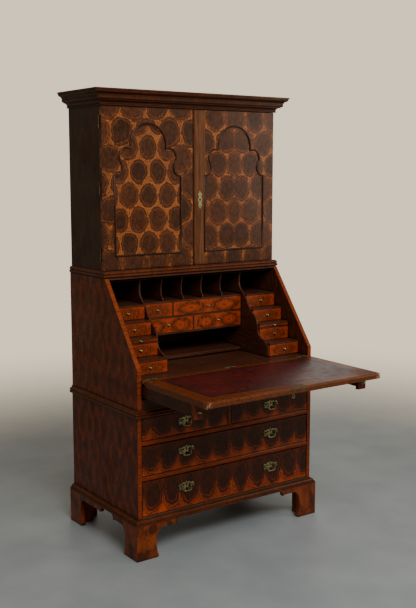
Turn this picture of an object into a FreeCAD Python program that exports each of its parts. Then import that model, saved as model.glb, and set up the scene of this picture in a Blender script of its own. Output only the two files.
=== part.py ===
import FreeCAD, Part
import math
import os

# Walnut secretary desk (bureau cabinet) in three stages: a chest of drawers on
# bracket feet, a desk with a fall-front flap, and a two-door cabinet with a cornice.
# Millimetres. X runs across the front, -Y is the front, Z is up, z = 0 is the floor.
# The model is drawn with y = 0 at the chest's front and is then moved so that the
# origin lies on the floor under the centre of its open-flap outline.

os.makedirs("parts", exist_ok=True)
V = FreeCAD.Vector

# ---- overall ----
chest_w = 1000.0
depth = 610.0
desk_w = 996.0
cabinet_w = 978.0
back_t = 10.0

# ---- chest ----
chest_side_t = 20.0
foot_h = 157.0
chest_bottom_t = 22.0
chest_bottom_lift = 11.0
chest_top_t = 19.0
rail_t = 22.0
rail_depth = 60.0
rail_nose = 4.0
low_opening_h = 162.5
mid_opening_h = 139.0
top_opening_h = 105.5
chest_divider_t = 14.0
dust_t = 8.0
runner_w = 34.0

# ---- feet and mouldings ----
base_h = 28.0
base_out = 22.0
foot_board_t = 22.0
foot_w = 112.0
foot_waist = 10.0
front_return = 226.0
rear_return = 315.0
foot_block = 60.0
waist_h = 37.0
waist_out = 15.0
waist_drop = 19.0
cabinet_mould_h = 31.0
cabinet_mould_out = 14.0
cornice_h = 71.5
cornice_out = 57.0

# ---- desk ----
desk_side_t = 20.0
desk_bottom_t = 18.0
bed_z = 810.0
bed_t = 26.0
desk_top_z = 1227.5
desk_top_t = 20.0
desk_top_lip = 7.0
slope_top_y = 273.5
slope_corner_rise = 44.0
frieze_t = 18.0
frieze_set = 1.0

# ---- flap and its supports ----
flap_t = 26.0
flap_side_gap = 1.5
flap_top_gap = 1.5
bed_gap = 0.6
leather_t = 2.0
leather_side = 66.0
leather_front = 70.0
leather_rear = 32.0
loper_face_w = 47.0
loper_face_h = 62.0
loper_bar_w = 40.0
loper_bar_h = 50.0
loper_travel = 400.0
loper_left_inside = 190.0
loper_gap = 0.4
guide_t = 11.0

# ---- desk interior ----
shelf_t = 7.0
bank_opening_h = 60.0
bank_floor_t = 4.5
slim_opening_h = 12.0
partition_x = 288.0
partition_t = 8.0
bank_fronts = [73.0, 152.0, 152.0, 207.0, 262.0]
centre_front = 295.0
ledge = 2.0
row_two_h = 72.0
row_one_split = -118.0
row_divider_t = 6.0
pigeon_divider_t = 5.0
pigeon_count = 5
pigeon_front = 314.0
floor_board_t = 14.0
floor_batten_h = 7.0
floor_batten_w = 30.0
bank_drawer_len = 300.0
centre_drawer_len = 255.0

# ---- cabinet ----
cabinet_side_t = 18.0
cabinet_board_t = 18.0
door_t = 20.0
door_gap = 0.5
door_top_gap = 1.5
door_meeting_gap = 2.5
door_height = 733.0
cabinet_shelf_t = 14.0
cabinet_shelf_count = 3
plinth_set = 9.5
door_set = 14.5
panel_gap = 0.3
panel_t = 8.0
panel_rebate = 12.0
panel_sink = 1.5
bead_w = 9.0
bead_out = 4.0
meeting_bead_w = 12.0

# ---- arched field of a door, from its centre line and the door's bottom ----
door_inner_stile = 67.75
door_outer_stile = 64.0
arch_bottom = 64.0
arch_shoulder = 413.0
cove_r = 38.0
bulge_inset = 25.0
bulge_z = 501.0
bulge_r = 38.0
crown_inset = 82.0
crown_z = 555.0

# ---- drawers ----
drawer_gap = 3.5
drawer_front_t = 20.0
drawer_front_set = 1.0
drawer_side_t = 12.0
drawer_bottom_t = 8.0
drawer_back_clear = 30.0
drawer_side_gap = 1.5
run_gap = 0.4
drawer_bottom_rise = 6.0
drawer_top_clear = 8.0
small_gap = 1.0
small_front_t = 9.0
small_side_t = 6.0
small_bottom_t = 4.0

# ---- brass ----
plate_t = 1.6
plate_half_w = 42.0
plate_half_h = 25.0
post_x = 30.0
post_rise = 6.0
post_r = 3.0
post_out = 12.0
post_ball_r = 5.0
bail_r = 2.0
bail_arm_x = 21.0
bail_drop = 24.0
bail_corner_r = 9.0
pin_gap = 0.1
handle_x = 245.0
short_handle_lift = 7.0
upper_handle_lift = 13.0
lower_handle_lift = 18.0
hinge_leaf_t = 2.0
hinge_w = 60.0
hinge_leaf = 32.0
hinge_knuckle_r = 3.0
hinge_pin_r = 1.4
hinge_x = 430.0
leaf_gap = 0.1
door_hinge_h = 60.0
door_hinge_leaf = 18.0
door_leaf_t = 1.5
door_hinge_inset = 70.0
lock_w = 90.0
lock_d = 42.0
lock_h = 14.0
key_x = -15.0
key_back = 22.0
key_r = 2.2
key_bow_r = 8.5
key_bow_hole_r = 5.0

# ---- levels worked out from the sizes above ----
chest_half = chest_w / 2
desk_half = desk_w / 2
cabinet_half = cabinet_w / 2
inside_back = depth - back_t
chest_in = chest_half - chest_side_t
desk_in = desk_half - desk_side_t
cabinet_in = cabinet_half - cabinet_side_t

low_z = foot_h + chest_bottom_lift + chest_bottom_t
rail_two_z = low_z + low_opening_h
mid_z = rail_two_z + rail_t
rail_one_z = mid_z + mid_opening_h
top_row_z = rail_one_z + rail_t
chest_top_under = top_row_z + top_opening_h
chest_top_z = chest_top_under + chest_top_t
desk_floor_z = chest_top_z + desk_bottom_t
waist_z = chest_top_z - waist_drop

slope_corner_z = bed_z + slope_corner_rise
slope = math.atan2(desk_top_z - slope_corner_z, slope_top_y)
pivot_y = (flap_t - slope_corner_rise * math.cos(slope)) / math.sin(slope)
lip_z = desk_top_z - desk_top_lip
flap_len = (lip_z - flap_top_gap - bed_z - flap_t * math.cos(slope)) / math.sin(slope)
flap_half = desk_in - flap_side_gap
flap_bevel = slope_corner_rise * math.sin(slope) - pivot_y * math.cos(slope)
flap_under = bed_z - flap_t

plinth_front_y = slope_top_y + plinth_set
door_front_y = plinth_front_y + door_set
cabinet_front_y = door_front_y + door_t + door_gap
door_in = door_meeting_gap / 2
arch_half = (cabinet_half - door_in - door_inner_stile - door_outer_stile) / 2
arch_x = door_in + door_inner_stile + arch_half
bulge_half = arch_half - bulge_inset
crown_r = arch_half - crown_inset
door_z = desk_top_z + cabinet_mould_h + door_top_gap
cornice_z = door_z + door_height + door_top_gap
cabinet_top_z = cornice_z + cornice_h - 6.5
bank_in = partition_x + partition_t
origin_y = (depth + pivot_y - flap_len) / 2


# ---- helpers ----
def box(x0, x1, y0, y1, z0, z1):
    return Part.makeBox(x1 - x0, y1 - y0, z1 - z0, V(x0, y0, z0))


def cyl_x(x0, x1, y, z, r):
    return Part.makeCylinder(r, x1 - x0, V(x0, y, z), V(1, 0, 0))


def cyl_y(x, z, y0, y1, r):
    return Part.makeCylinder(r, y1 - y0, V(x, y0, z), V(0, 1, 0))


def cyl_z(x, y, z0, z1, r):
    return Part.makeCylinder(r, z1 - z0, V(x, y, z0), V(0, 0, 1))


def mirrored(shape):
    return shape.mirror(V(0, 0, 0), V(1, 0, 0))


def both(shape):
    """A piece and its mirror image on the other side."""
    return [shape, mirrored(shape)]


def wire(steps, place):
    """A closed wire. A step is a point, or (middle, end) of an arc, in plane coordinates."""
    edges = []
    start = here = steps[0]
    for step in steps[1:] + [start]:
        if isinstance(step[0], tuple):
            mid, end = step
            edges.append(Part.Arc(place(*here), place(*mid), place(*end)).toShape())
        else:
            end = step
            if math.dist(here, end) > 1e-6:
                edges.append(Part.makeLine(place(*here), place(*end)))
        here = end
    return Part.Wire(edges)


def slab_x(steps, x0, x1):
    """An outline in (y, z) given thickness along X."""
    face = Part.Face(wire(steps, lambda y, z: V(x0, y, z)))
    return face.extrude(V(x1 - x0, 0, 0))


def slab_y(steps, y0, y1):
    """An outline in (x, z) given thickness along Y."""
    face = Part.Face(wire(steps, lambda x, z: V(x, y0, z)))
    return face.extrude(V(0, y1 - y0, 0))


def slab_z(points, z0, z1):
    """A straight-sided outline in (x, y) given thickness along Z."""
    face = Part.Face(wire(points, lambda x, y: V(x, y, z0)))
    return face.extrude(V(0, 0, z1 - z0))


def ogee(p, q):
    """Two equal arcs from p to q whose ends run along the second coordinate."""
    da, db = (q[0] - p[0]) / 2, (q[1] - p[1]) / 2
    r = (da * da + db * db) / (2 * abs(da))
    half = math.asin(abs(db) / r) / 2
    side = math.copysign(1.0, da)
    rise = math.copysign(1.0, db)
    inset = side * r * (1 - math.cos(half))
    climb = rise * r * math.sin(half)
    middle = (p[0] + da, p[1] + db)
    return [((p[0] + inset, p[1] + climb), middle), ((q[0] - inset, q[1] - climb), q)]


def turned(profile, x, y, z, out=-1.0):
    """A turned piece on an axis along Y. The profile gives (radius, distance out)."""
    face = Part.Face(wire(profile, lambda r, d: V(x + r, y + out * d, z)))
    return face.revolve(V(x, y, z), V(0, 1, 0), 360)


def smooth_face(points, y):
    """A face bounded by one closed smooth curve through (x, z) points."""
    curve = Part.BSplineCurve()
    curve.interpolate([V(x, y, z) for x, z in points], PeriodicFlag=True)
    return Part.Face(Part.Wire([curve.toShape()]))


def export(node, solids):
    """Move the solids into the part's frame and write them as one node."""
    moved = [s.translated(V(0, -origin_y, 0)) for s in solids]
    shape = moved[0] if len(moved) == 1 else Part.Compound(moved)
    shape.exportStep("parts/" + node + ".step")


def moulding(profile, half, front_y, z0, out):
    """A moulding mitred round the front and both sides. The profile gives (out, up)."""
    def place_front(p, u):
        return V(-half - out, front_y - p, z0 + u)

    def place_side(p, u):
        return V(half + p, front_y - out, z0 + u)

    top = z0 + max(s[-1][1] if isinstance(s[0], tuple) else s[1] for s in profile)
    front = Part.Face(wire(profile, place_front)).extrude(V(2 * (half + out), 0, 0))
    front_zone = [(-half, front_y), (-half - out, front_y - out),
                  (half + out, front_y - out), (half, front_y)]
    side = Part.Face(wire(profile, place_side)).extrude(V(0, depth - front_y + out, 0))
    side_zone = [(half, front_y), (half + out, front_y - out), (half + out, depth), (half, depth)]
    front = front.common(slab_z(front_zone, z0, top)).Solids[0]
    side = side.common(slab_z(side_zone, z0, top)).Solids[0]
    return [front] + both(side)


# ---- chest ----
def chest_carcass():
    side = box(chest_in, chest_half, 0, depth, foot_h, chest_top_z)
    export("chest_sides", both(side))
    bottom_z = foot_h + chest_bottom_lift
    bottom = box(-chest_in, chest_in, 0, inside_back, bottom_z, low_z)
    top = box(-chest_in, chest_in, 0, inside_back, chest_top_under, chest_top_z)
    export("chest_boards", [bottom, top])


def chest_rails():
    def rail(z):
        nose = ((0, z + rail_t / 2), (rail_nose, z + rail_t))
        outline = [(rail_nose, z), nose, (rail_depth, z + rail_t), (rail_depth, z)]
        return slab_x(outline, -chest_in, chest_in)

    half = chest_divider_t / 2
    post = box(-half, half, drawer_front_set, rail_depth, top_row_z, chest_top_under)
    export("drawer_rails", [rail(rail_two_z), rail(rail_one_z), post])


def chest_dust_boards():
    pieces = []
    for z in (rail_two_z, rail_one_z):
        mid = z + rail_t / 2
        inner = chest_in - runner_w
        runner = box(inner, chest_in, rail_depth, inside_back, z, z + rail_t)
        board = box(-inner, inner, rail_depth, inside_back, mid - dust_t / 2, mid + dust_t / 2)
        pieces += both(runner) + [board]
    board_top = rail_one_z + rail_t / 2 + dust_t / 2
    half = runner_w
    pieces.append(box(-half, half, rail_depth, inside_back, board_top, top_row_z))
    guide = chest_divider_t / 2
    pieces.append(box(-guide, guide, rail_depth, inside_back, top_row_z, top_row_z + rail_t))
    export("dust_boards", pieces)


def base_moulding():
    profile = [(0, 0), (base_out, 0), (base_out, 8), (base_out - 3, 8), (base_out - 3, 13),
               (base_out - 6, 13), ((base_out - 9.8, 21.2), (base_out - 18, 25)),
               (base_out - 18, base_h), (0, base_h)]
    export("base_moulding", moulding(profile, chest_half, 0, foot_h, base_out))


def foot_outline(reach):
    """Shaped bracket from the outer corner (0) inwards: foot, cusp and return."""
    waist = foot_w - foot_waist
    under = foot_h - 21.0
    tip = foot_h - 26.0
    return ([(0, 0), (foot_w - 3, 0), ((foot_w, 4), (foot_w + 1, 12))]
            + [((waist + 3, 38), (waist, 66)), ((waist + 1.5, 92), (waist + 8, 112))]
            + [((waist + 15, 125), (waist + 30, under)), (reach - 38, under)]
            + [((reach - 26, under - 1), (reach - 20, tip)), (reach - 15, tip)]
            + [((reach - 10, foot_h - 9), (reach, foot_h)), (0, foot_h)])


def bracket_feet():
    outer_x = chest_half + base_out
    outer_y = -base_out

    def along(point, fn):
        if isinstance(point[0], tuple):
            return tuple(fn(*p) for p in point)
        return fn(*point)

    mitre = foot_board_t
    front = slab_y([along(p, lambda a, b: (outer_x - a, b)) for p in foot_outline(front_return)],
                   outer_y, outer_y + mitre)
    corner = slab_z([(outer_x, outer_y), (outer_x, outer_y + mitre), (outer_x - mitre,
                    outer_y + mitre)], 0, foot_h)
    front = front.cut(corner)
    side = slab_x([along(p, lambda a, b: (outer_y + a, b)) for p in foot_outline(front_return)],
                  outer_x - mitre, outer_x)
    side = side.common(box(outer_x - mitre, outer_x, outer_y, depth, 0, foot_h))
    side = side.cut(slab_z([(outer_x, outer_y), (outer_x - mitre, outer_y),
                            (outer_x - mitre, outer_y + mitre)], 0, foot_h))
    rear = slab_x([along(p, lambda a, b: (depth - a, b)) for p in foot_outline(rear_return)],
                  outer_x - mitre, outer_x)
    inner = outer_x - mitre
    bottom_z = foot_h + chest_bottom_lift
    front_block = box(inner - foot_block, inner, outer_y + mitre, outer_y + mitre + foot_block,
                      1.0, foot_h)
    rear_bracket = box(inner - front_return / 2, inner, depth - mitre, depth, 0, foot_h)
    rear_block = box(inner - foot_block, inner, depth - mitre - foot_block, depth - mitre,
                     1.0, foot_h)
    packing = box(inner - foot_block - 40, chest_in, outer_y + mitre, inside_back, foot_h,
                  bottom_z)
    pieces = []
    for piece in (front, side, rear, front_block, rear_block, rear_bracket, packing):
        pieces += both(piece.Solids[0])
    export("bracket_feet", pieces)


def waist_moulding():
    o = waist_out
    profile = [(0, 0), (o - 10, 0), (o - 7, 1.5), ((o, 8.5), (o - 5, 15.5)),
               ((o - 1, 20.5), (o - 5, 25.5)), (o - 7, 26.5),
               ((o - 10.5, 29), (o - 12.5, waist_h)), (0, waist_h)]
    export("waist_moulding", moulding(profile, chest_half, 0, waist_z, o))


def back_boards():
    chest = box(-chest_in, chest_in, inside_back, depth, foot_h, chest_top_z)
    desk = box(-desk_in, desk_in, inside_back, depth, chest_top_z, desk_top_z)
    cabinet = box(-cabinet_in, cabinet_in, inside_back, depth, desk_top_z, cabinet_top_z)
    export("back_boards", [chest, desk, cabinet])


# ---- desk ----
def slope_y(z, back=0.0):
    """Depth of the slope plane at a height, or of a plane that far behind it."""
    return (z - slope_corner_z) / math.tan(slope) + back / math.sin(slope)


def desk_carcass():
    outline = [(0, chest_top_z), (depth, chest_top_z), (depth, desk_top_z),
               (slope_top_y, desk_top_z), (0, slope_corner_z)]
    export("desk_sides", both(slab_x(outline, desk_in, desk_half)))
    bottom = box(-desk_in, desk_in, 0, inside_back, chest_top_z, desk_floor_z)
    under = desk_top_z - desk_top_t
    behind = flap_t + flap_top_gap
    top = slab_x([(slope_y(under, behind), under), (slope_y(lip_z, behind), lip_z),
                  (slope_y(lip_z), lip_z), (slope_top_y, desk_top_z),
                  (inside_back, desk_top_z), (inside_back, under)], -desk_in, desk_in)
    export("desk_boards", [bottom, top])


def writing_bed():
    bed = box(-desk_in, desk_in, pivot_y + bed_gap, inside_back, bed_z - bed_t, bed_z)
    for x in (-hinge_x, 0.0, hinge_x):
        bed = bed.cut(hinge_pocket(x, 1))
    floor_z = bed_z + floor_batten_h
    floor = box(-partition_x, partition_x, centre_front - ledge, inside_back,
                floor_z, floor_z + floor_board_t)
    batten = box(partition_x - floor_batten_w, partition_x, centre_front + 10, inside_back,
                 bed_z, floor_z)
    riser = box(-partition_x + floor_batten_w, partition_x - floor_batten_w,
                centre_front + 10, centre_front + 20, bed_z, floor_z)
    export("writing_bed", [bed, floor, riser] + both(batten))


def desk_frieze():
    face_x = desk_in - loper_face_w
    notch_z = flap_under - loper_gap - loper_face_h
    y0 = frieze_set
    y1 = y0 + frieze_t
    edge = face_x - loper_gap
    low = notch_z - loper_gap
    high = bed_z - bed_t
    frieze = slab_y([(-desk_in, desk_floor_z), (desk_in, desk_floor_z), (desk_in, low),
                     (edge, low), (edge, high), (-edge, high), (-edge, low), (-desk_in, low)],
                    y0, y1)
    bar_z = flap_under - 2 * loper_gap - loper_bar_h
    guide_in = face_x - guide_t
    runner = box(face_x, desk_in, y1, inside_back, desk_floor_z, bar_z)
    guide = box(guide_in, face_x, y1, inside_back, desk_floor_z, high)
    export("desk_frieze", [frieze] + both(runner) + both(guide))


def loper(side):
    face_in = desk_in - loper_face_w
    y0 = frieze_set - loper_travel
    top = flap_under - loper_gap
    face = box(face_in + loper_gap, desk_in - loper_gap, y0, y0 + frieze_t,
               top - loper_face_h, top)
    centre = (face_in + desk_in) / 2
    half = loper_bar_w / 2
    bar = box(centre - half, centre + half, y0 + frieze_t, loper_left_inside,
              top - loper_bar_h, top)
    knob = turned(knob_profile(1.25), centre, y0, top - loper_face_h / 2)
    pieces = [face, bar, knob]
    if side < 0:
        pieces = [mirrored(p) for p in pieces]
    export("loper_left" if side < 0 else "loper_right", pieces)


# ---- flap ----
def flap_y(distance):
    """Depth of a point on the open flap, that far from its hinge line."""
    return pivot_y - distance


def hinge_pocket(x, way):
    """Room for a hinge leaf and knuckle; way is 1 in the bed and -1 in the flap."""
    half = hinge_w / 2
    y0, y1 = sorted((pivot_y, pivot_y + way * (hinge_knuckle_r + 1.0)))
    leaf = hinge_outline_solid(x, way, bed_z - hinge_leaf_t, bed_z + 1.0, leaf_gap)
    web = box(x - half, x + half, y0, y1, bed_z - hinge_leaf_t, bed_z + 1.0)
    room = cyl_x(x - half, x + half, pivot_y, bed_z, hinge_knuckle_r + 0.6)
    return leaf.fuse(web).fuse(room)


def hinge_outline_solid(x, way, z0, z1, gap=0.0):
    """A leaf that narrows to a neck and ends in a round lobe; gap widens it into a pocket."""
    half = hinge_w / 2 + gap
    near = hinge_knuckle_r + 0.6
    lobe_r = 13.0 + gap
    neck_half = 12.0 + gap
    y = [pivot_y + way * d for d in (near, near + 5 + gap, hinge_leaf - 13.0)]
    plate = slab_z([(x - half, y[0]), (x + half, y[0]), (x + half, y[1]), (x + neck_half, y[2]),
                    (x - neck_half, y[2]), (x - half, y[1])], z0, z1)
    return plate.fuse(cyl_z(x, y[2], z0, z1, lobe_r)).removeSplitter()


def knuckle(x0, x1, bore):
    tube = cyl_x(x0, x1, pivot_y, bed_z, hinge_knuckle_r)
    if bore:
        tube = tube.cut(cyl_x(x0 - 1, x1 + 1, pivot_y, bed_z, hinge_pin_r + pin_gap))
    return tube


def flap_hinge(x, way):
    """One leaf of a flap hinge with its knuckles; the fixed one carries the pin."""
    third = hinge_w / 6
    leaf = hinge_outline_solid(x, way, bed_z - hinge_leaf_t, bed_z)
    spans = [(x - third, x + third)]
    if way < 0:
        spans = [(x - 3 * third, x - third - 0.3), (x + third + 0.3, x + 3 * third)]
    for x0, x1 in spans:
        y_near = pivot_y + way * (hinge_knuckle_r + 1.0)
        low, high = sorted((pivot_y + way * hinge_pin_r * 1.5, y_near))
        web = box(x0, x1, low, high, bed_z - hinge_leaf_t, bed_z)
        leaf = leaf.fuse(knuckle(x0, x1, way < 0)).fuse(web)
    if way > 0:
        pin = cyl_x(x - 3 * third + 1, x + 3 * third - 1, pivot_y, bed_z, hinge_pin_r)
        leaf = leaf.fuse(pin)
    else:
        bore = cyl_x(x - hinge_w, x + hinge_w, pivot_y, bed_z, hinge_pin_r + pin_gap)
        leaf = leaf.cut(bore)
    return leaf.removeSplitter().Solids[0]


def flap():
    front = flap_y(flap_len)
    nose, under = 8.0, 5.0
    outline = [(pivot_y, bed_z), (front + nose, bed_z),
               ((front + nose * 0.293, bed_z - nose * 0.293), (front, bed_z - nose)),
               (front, flap_under + under),
               ((front + under * 0.293, flap_under + under * 0.293), (front + under, flap_under)),
               (pivot_y - flap_bevel, flap_under), (pivot_y, bed_z - 3.0)]
    board = slab_x(outline, -flap_half, flap_half)
    well = box(-flap_half + leather_side, flap_half - leather_side,
               front + leather_front, flap_y(leather_rear), bed_z - leather_t, bed_z + 1)
    board = board.cut(well)
    for x in (-hinge_x, 0.0, hinge_x):
        board = board.cut(hinge_pocket(x, -1))
    half = lock_w / 2
    cap_t, edge_t = 1.5, 1.5
    body = box(-half + 8, half - 8, front + edge_t, front + lock_d - 6,
               bed_z - lock_h, bed_z - cap_t)
    cap = box(-half, half, front + nose, front + lock_d, bed_z - cap_t, bed_z)
    plate = box(-half, half, front, front + edge_t, bed_z - lock_h - 2, bed_z - nose)
    key_y = front + key_back
    shaft = cyl_z(key_x, key_y, flap_under - plate_t - 1, bed_z - 3, key_r + 0.3)
    hollow = body.fuse(cap).fuse(plate).fuse(shaft)
    board = board.cut(hollow)
    body = body.cut(shaft)
    export("flap_board", [board.Solids[0]])
    leather = box(-flap_half + leather_side + 0.2, flap_half - leather_side - 0.2,
                  front + leather_front + 0.2, flap_y(leather_rear) - 0.2,
                  bed_z - leather_t, bed_z - 0.2)
    export("flap_leather", [leather])
    export("flap_hinge_leaves", [flap_hinge(x, -1) for x in (-hinge_x, 0.0, hinge_x)])
    escutcheon = plate_outline_z(key_x, key_y, flap_under - plate_t, flap_under)
    escutcheon = escutcheon.cut(shaft)
    export("flap_lock", [body.Solids[0], cap, plate, escutcheon.Solids[0]])
    return key_y


def plate_outline_z(x, y, z0, z1):
    """A small shaped keyhole plate lying flat under the flap."""
    points = [(x, y + 20), (x + 8, y + 9), (x + 14, y + 2), (x + 8, y - 6), (x, y - 14),
              (x - 8, y - 6), (x - 14, y + 2), (x - 8, y + 9)]
    curve = Part.BSplineCurve()
    curve.interpolate([V(px, py, z0) for px, py in points], PeriodicFlag=True)
    return Part.Face(Part.Wire([curve.toShape()])).extrude(V(0, 0, z1 - z0))


def flap_key(key_y):
    low = flap_under - 16.0
    bow = cyl_y(key_x, low, key_y - 1.5, key_y + 1.5, key_bow_r)
    bow = bow.cut(cyl_y(key_x, low, key_y - 3, key_y + 3, key_bow_hole_r))
    shank = cyl_z(key_x, key_y, low + key_bow_r - 1.5, bed_z - 5, key_r)
    collar = cyl_z(key_x, key_y, low + key_bow_r, low + key_bow_r + 3, key_r + 1.4)
    export("flap_key", [bow.fuse(shank).fuse(collar).removeSplitter().Solids[0]])


# ---- desk interior ----
def bank_levels():
    """Bottom and height of each drawer opening in a side bank, from the bed up."""
    low_h = bank_opening_h - bank_floor_t
    levels = []
    z = bed_z + bank_floor_t
    for height in (low_h, bank_opening_h, slim_opening_h, bank_opening_h, bank_opening_h):
        levels.append((z, height))
        z += height + shelf_t
    return levels


def bank_top():
    z, height = bank_levels()[-1]
    return z + height


def bank_partitions():
    """The tall ogee-edged boards between the side banks and the centre."""
    top = desk_top_z - desk_top_t
    fronts = bank_fronts
    levels = [z for z, _ in bank_levels()]
    run = [(fronts[0] + 15, levels[1] - 12), (fronts[0] + 46, levels[1] + 13),
           (fronts[1] - 1, levels[1] + 32), (fronts[1] + 8, levels[2] - 12),
           (fronts[1] + 12, levels[3] + 2), (fronts[1] + 27, levels[3] + 30),
           (fronts[3] + 1, levels[4] - 14), (fronts[3] + 27, levels[4] + 14),
           (fronts[4] - 10, levels[4] + 44), (fronts[4] + 8, levels[4] + 64),
           (pigeon_front - 22, levels[4] + 84), (pigeon_front - 4, levels[4] + 108),
           (pigeon_front, top - 44), (pigeon_front - 8, top)]
    curve = Part.BSplineCurve()
    curve.interpolate([V(partition_x, y, z) for y, z in run])
    start = V(partition_x, run[0][0], bed_z)
    edges = [Part.makeLine(start, V(partition_x, *run[0])), curve.toShape(),
             Part.makeLine(V(partition_x, *run[-1]), V(partition_x, inside_back, top)),
             Part.makeLine(V(partition_x, inside_back, top), V(partition_x, inside_back, bed_z)),
             Part.makeLine(V(partition_x, inside_back, bed_z), start)]
    board = Part.Face(Part.Wire(edges)).extrude(V(partition_t, 0, 0))
    export("bank_partitions", both(board))


def bank_shelves():
    y0 = bank_fronts[0] - ledge
    pieces = both(box(bank_in, desk_in, y0, inside_back, bed_z, bed_z + bank_floor_t))
    for (z, height), front in zip(bank_levels(), bank_fronts):
        shelf = box(bank_in, desk_in, front - ledge, inside_back, z + height, z + height + shelf_t)
        pieces += both(shelf)
    export("bank_shelves", pieces)


def centre_levels():
    """Bottom and height of the two rows of drawers in the centre."""
    low = bank_levels()[2][0]
    mid = low + row_two_h + shelf_t
    return [(low, row_two_h), (mid, bank_top() - mid)]


def centre_shelves():
    y0 = centre_front - ledge
    (low, low_h), (mid, mid_h) = centre_levels()
    pieces = []
    for z in (low - shelf_t, mid - shelf_t, mid + mid_h):
        pieces.append(box(-partition_x, partition_x, y0, inside_back, z, z + shelf_t))
    half = row_divider_t / 2
    pieces.append(box(-half, half, y0, inside_back, low, low + low_h))
    pieces.append(box(row_one_split - half, row_one_split + half, y0, inside_back, mid,
                      mid + mid_h))
    export("centre_shelves", pieces)


def pigeonhole_dividers():
    low = bank_top() + shelf_t
    top = desk_top_z - desk_top_t
    step = 2 * partition_x / pigeon_count
    toe = centre_front + 2
    pieces = []
    for i in range(1, pigeon_count):
        x = -partition_x + i * step
        outline = [(toe, low)] + ogee((toe, low + 1), (pigeon_front, low + 40))
        outline += ogee((pigeon_front, low + 62), (pigeon_front - 8, top - 4))
        outline += [(pigeon_front - 8, top), (inside_back, top), (inside_back, low)]
        half = pigeon_divider_t / 2
        pieces.append(slab_x(outline, x - half, x + half))
    export("pigeonhole_dividers", pieces)


def knob_profile(k=1.0):
    """Rosette, neck and round head of a knob. The head's cap is part of a sphere."""
    rim_r, rim, top = 5.8, 7.4, 12.2
    centre = (top * top - rim * rim - rim_r * rim_r) / (2 * (top - rim))
    ball_r = top - centre
    half = (math.atan2(rim - centre, rim_r) + math.pi / 2) / 2
    cap = (ball_r * math.cos(half), centre + ball_r * math.sin(half))
    steps = [(0, 0), (5.2, 0), (5.2, 1.0), (2.2, 2.0), (2.2, 4.0),
             ((4.8, 5.2), (rim_r, rim)), (cap, (0, top))]
    return [tuple((a * k, b * k) for a, b in step) if isinstance(step[0], tuple)
            else (step[0] * k, step[1] * k) for step in steps]


def small_drawer(node, x0, x1, z0, height, front_y, length):
    """A small drawer: front, two sides, back, bottom and a brass knob."""
    g, s = small_gap, small_side_t
    y0, y1 = front_y + small_front_t, front_y + length
    low, high = z0 + run_gap, z0 + height - g
    side_high = high - min(2.0, height / 8)
    front = box(x0 + g, x1 - g, front_y, y0, z0 + g, high)
    left = box(x0 + g, x0 + g + s, y0, y1, low, side_high)
    right = box(x1 - g - s, x1 - g, y0, y1, low, side_high)
    back = box(x0 + g + s, x1 - g - s, y1 - s, y1, low, side_high)
    floor_t = min(small_bottom_t, height / 4)
    bottom = box(x0 + g + s, x1 - g - s, y0, y1 - s, low, low + floor_t)
    k = min(1.0, (height - 2 * g) / 11.0)
    knob = turned(knob_profile(k), (x0 + x1) / 2, front_y, z0 + height / 2)
    export(node, [front, left, right, back, bottom, knob])


def small_drawers():
    names = ("fourth", "third", "slim", "second", "first")
    for (z, height), front, name in zip(bank_levels(), bank_fronts, names):
        length = min(bank_drawer_len, inside_back - front - 5)
        small_drawer("left_drawer_" + name, -desk_in, -bank_in, z, height, front, length)
        small_drawer("right_drawer_" + name, bank_in, desk_in, z, height, front, length)
    (low, low_h), (mid, mid_h) = centre_levels()
    half = row_divider_t / 2
    y, n = centre_front, centre_drawer_len
    small_drawer("centre_drawer_lower_left", -partition_x, -half, low, low_h, y, n)
    small_drawer("centre_drawer_lower_right", half, partition_x, low, low_h, y, n)
    split = row_one_split
    small_drawer("centre_drawer_upper_left", -partition_x, split - half, mid, mid_h, y, n)
    small_drawer("centre_drawer_upper_wide", split + half, partition_x, mid, mid_h, y, n)


# ---- chest drawers and their handles ----
def handle_plate(x, z, y):
    """Pierced batwing back plate with two posts that carry the bail's pins."""
    w, h = plate_half_w, plate_half_h
    wing = [(0, h), (0.13 * w, 0.74 * h), (0.38 * w, 0.8 * h), (0.62 * w, 0.62 * h),
            (0.86 * w, 0.66 * h), (w, 0.3 * h), (0.86 * w, 0.02 * h), (0.9 * w, -0.3 * h),
            (0.66 * w, -0.5 * h), (0.4 * w, -0.44 * h), (0.2 * w, -0.74 * h), (0, -h)]
    points = wing + [(-a, b) for a, b in reversed(wing[1:-1])]
    plate = smooth_face([(x + a, z + b) for a, b in points], y - plate_t)
    plate = plate.extrude(V(0, plate_t, 0))
    hole_spots = [(0, 0.4), (0, -0.35), (0.4, 0.3), (-0.4, 0.3), (0.4, -0.1), (-0.4, -0.1)]
    for a, b in hole_spots:
        plate = plate.cut(cyl_y(x + a * w, z + b * h, y - plate_t - 1, y + 1, 3.0))
    pieces = [plate.Solids[0]]
    for side in (-1, 1):
        px, pz = x + side * post_x, z + post_rise
        stem = cyl_y(px, pz, y - post_out, y - plate_t, post_r)
        ball = Part.makeSphere(post_ball_r, V(px, y - post_out, pz))
        bore_x = sorted((px - side * (post_ball_r + 1), px + side * 2.0))
        bore = cyl_x(bore_x[0], bore_x[1], y - post_out, pz, bail_r + pin_gap)
        pieces.append(stem.fuse(ball).cut(bore).removeSplitter().Solids[0])
    return pieces


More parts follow.
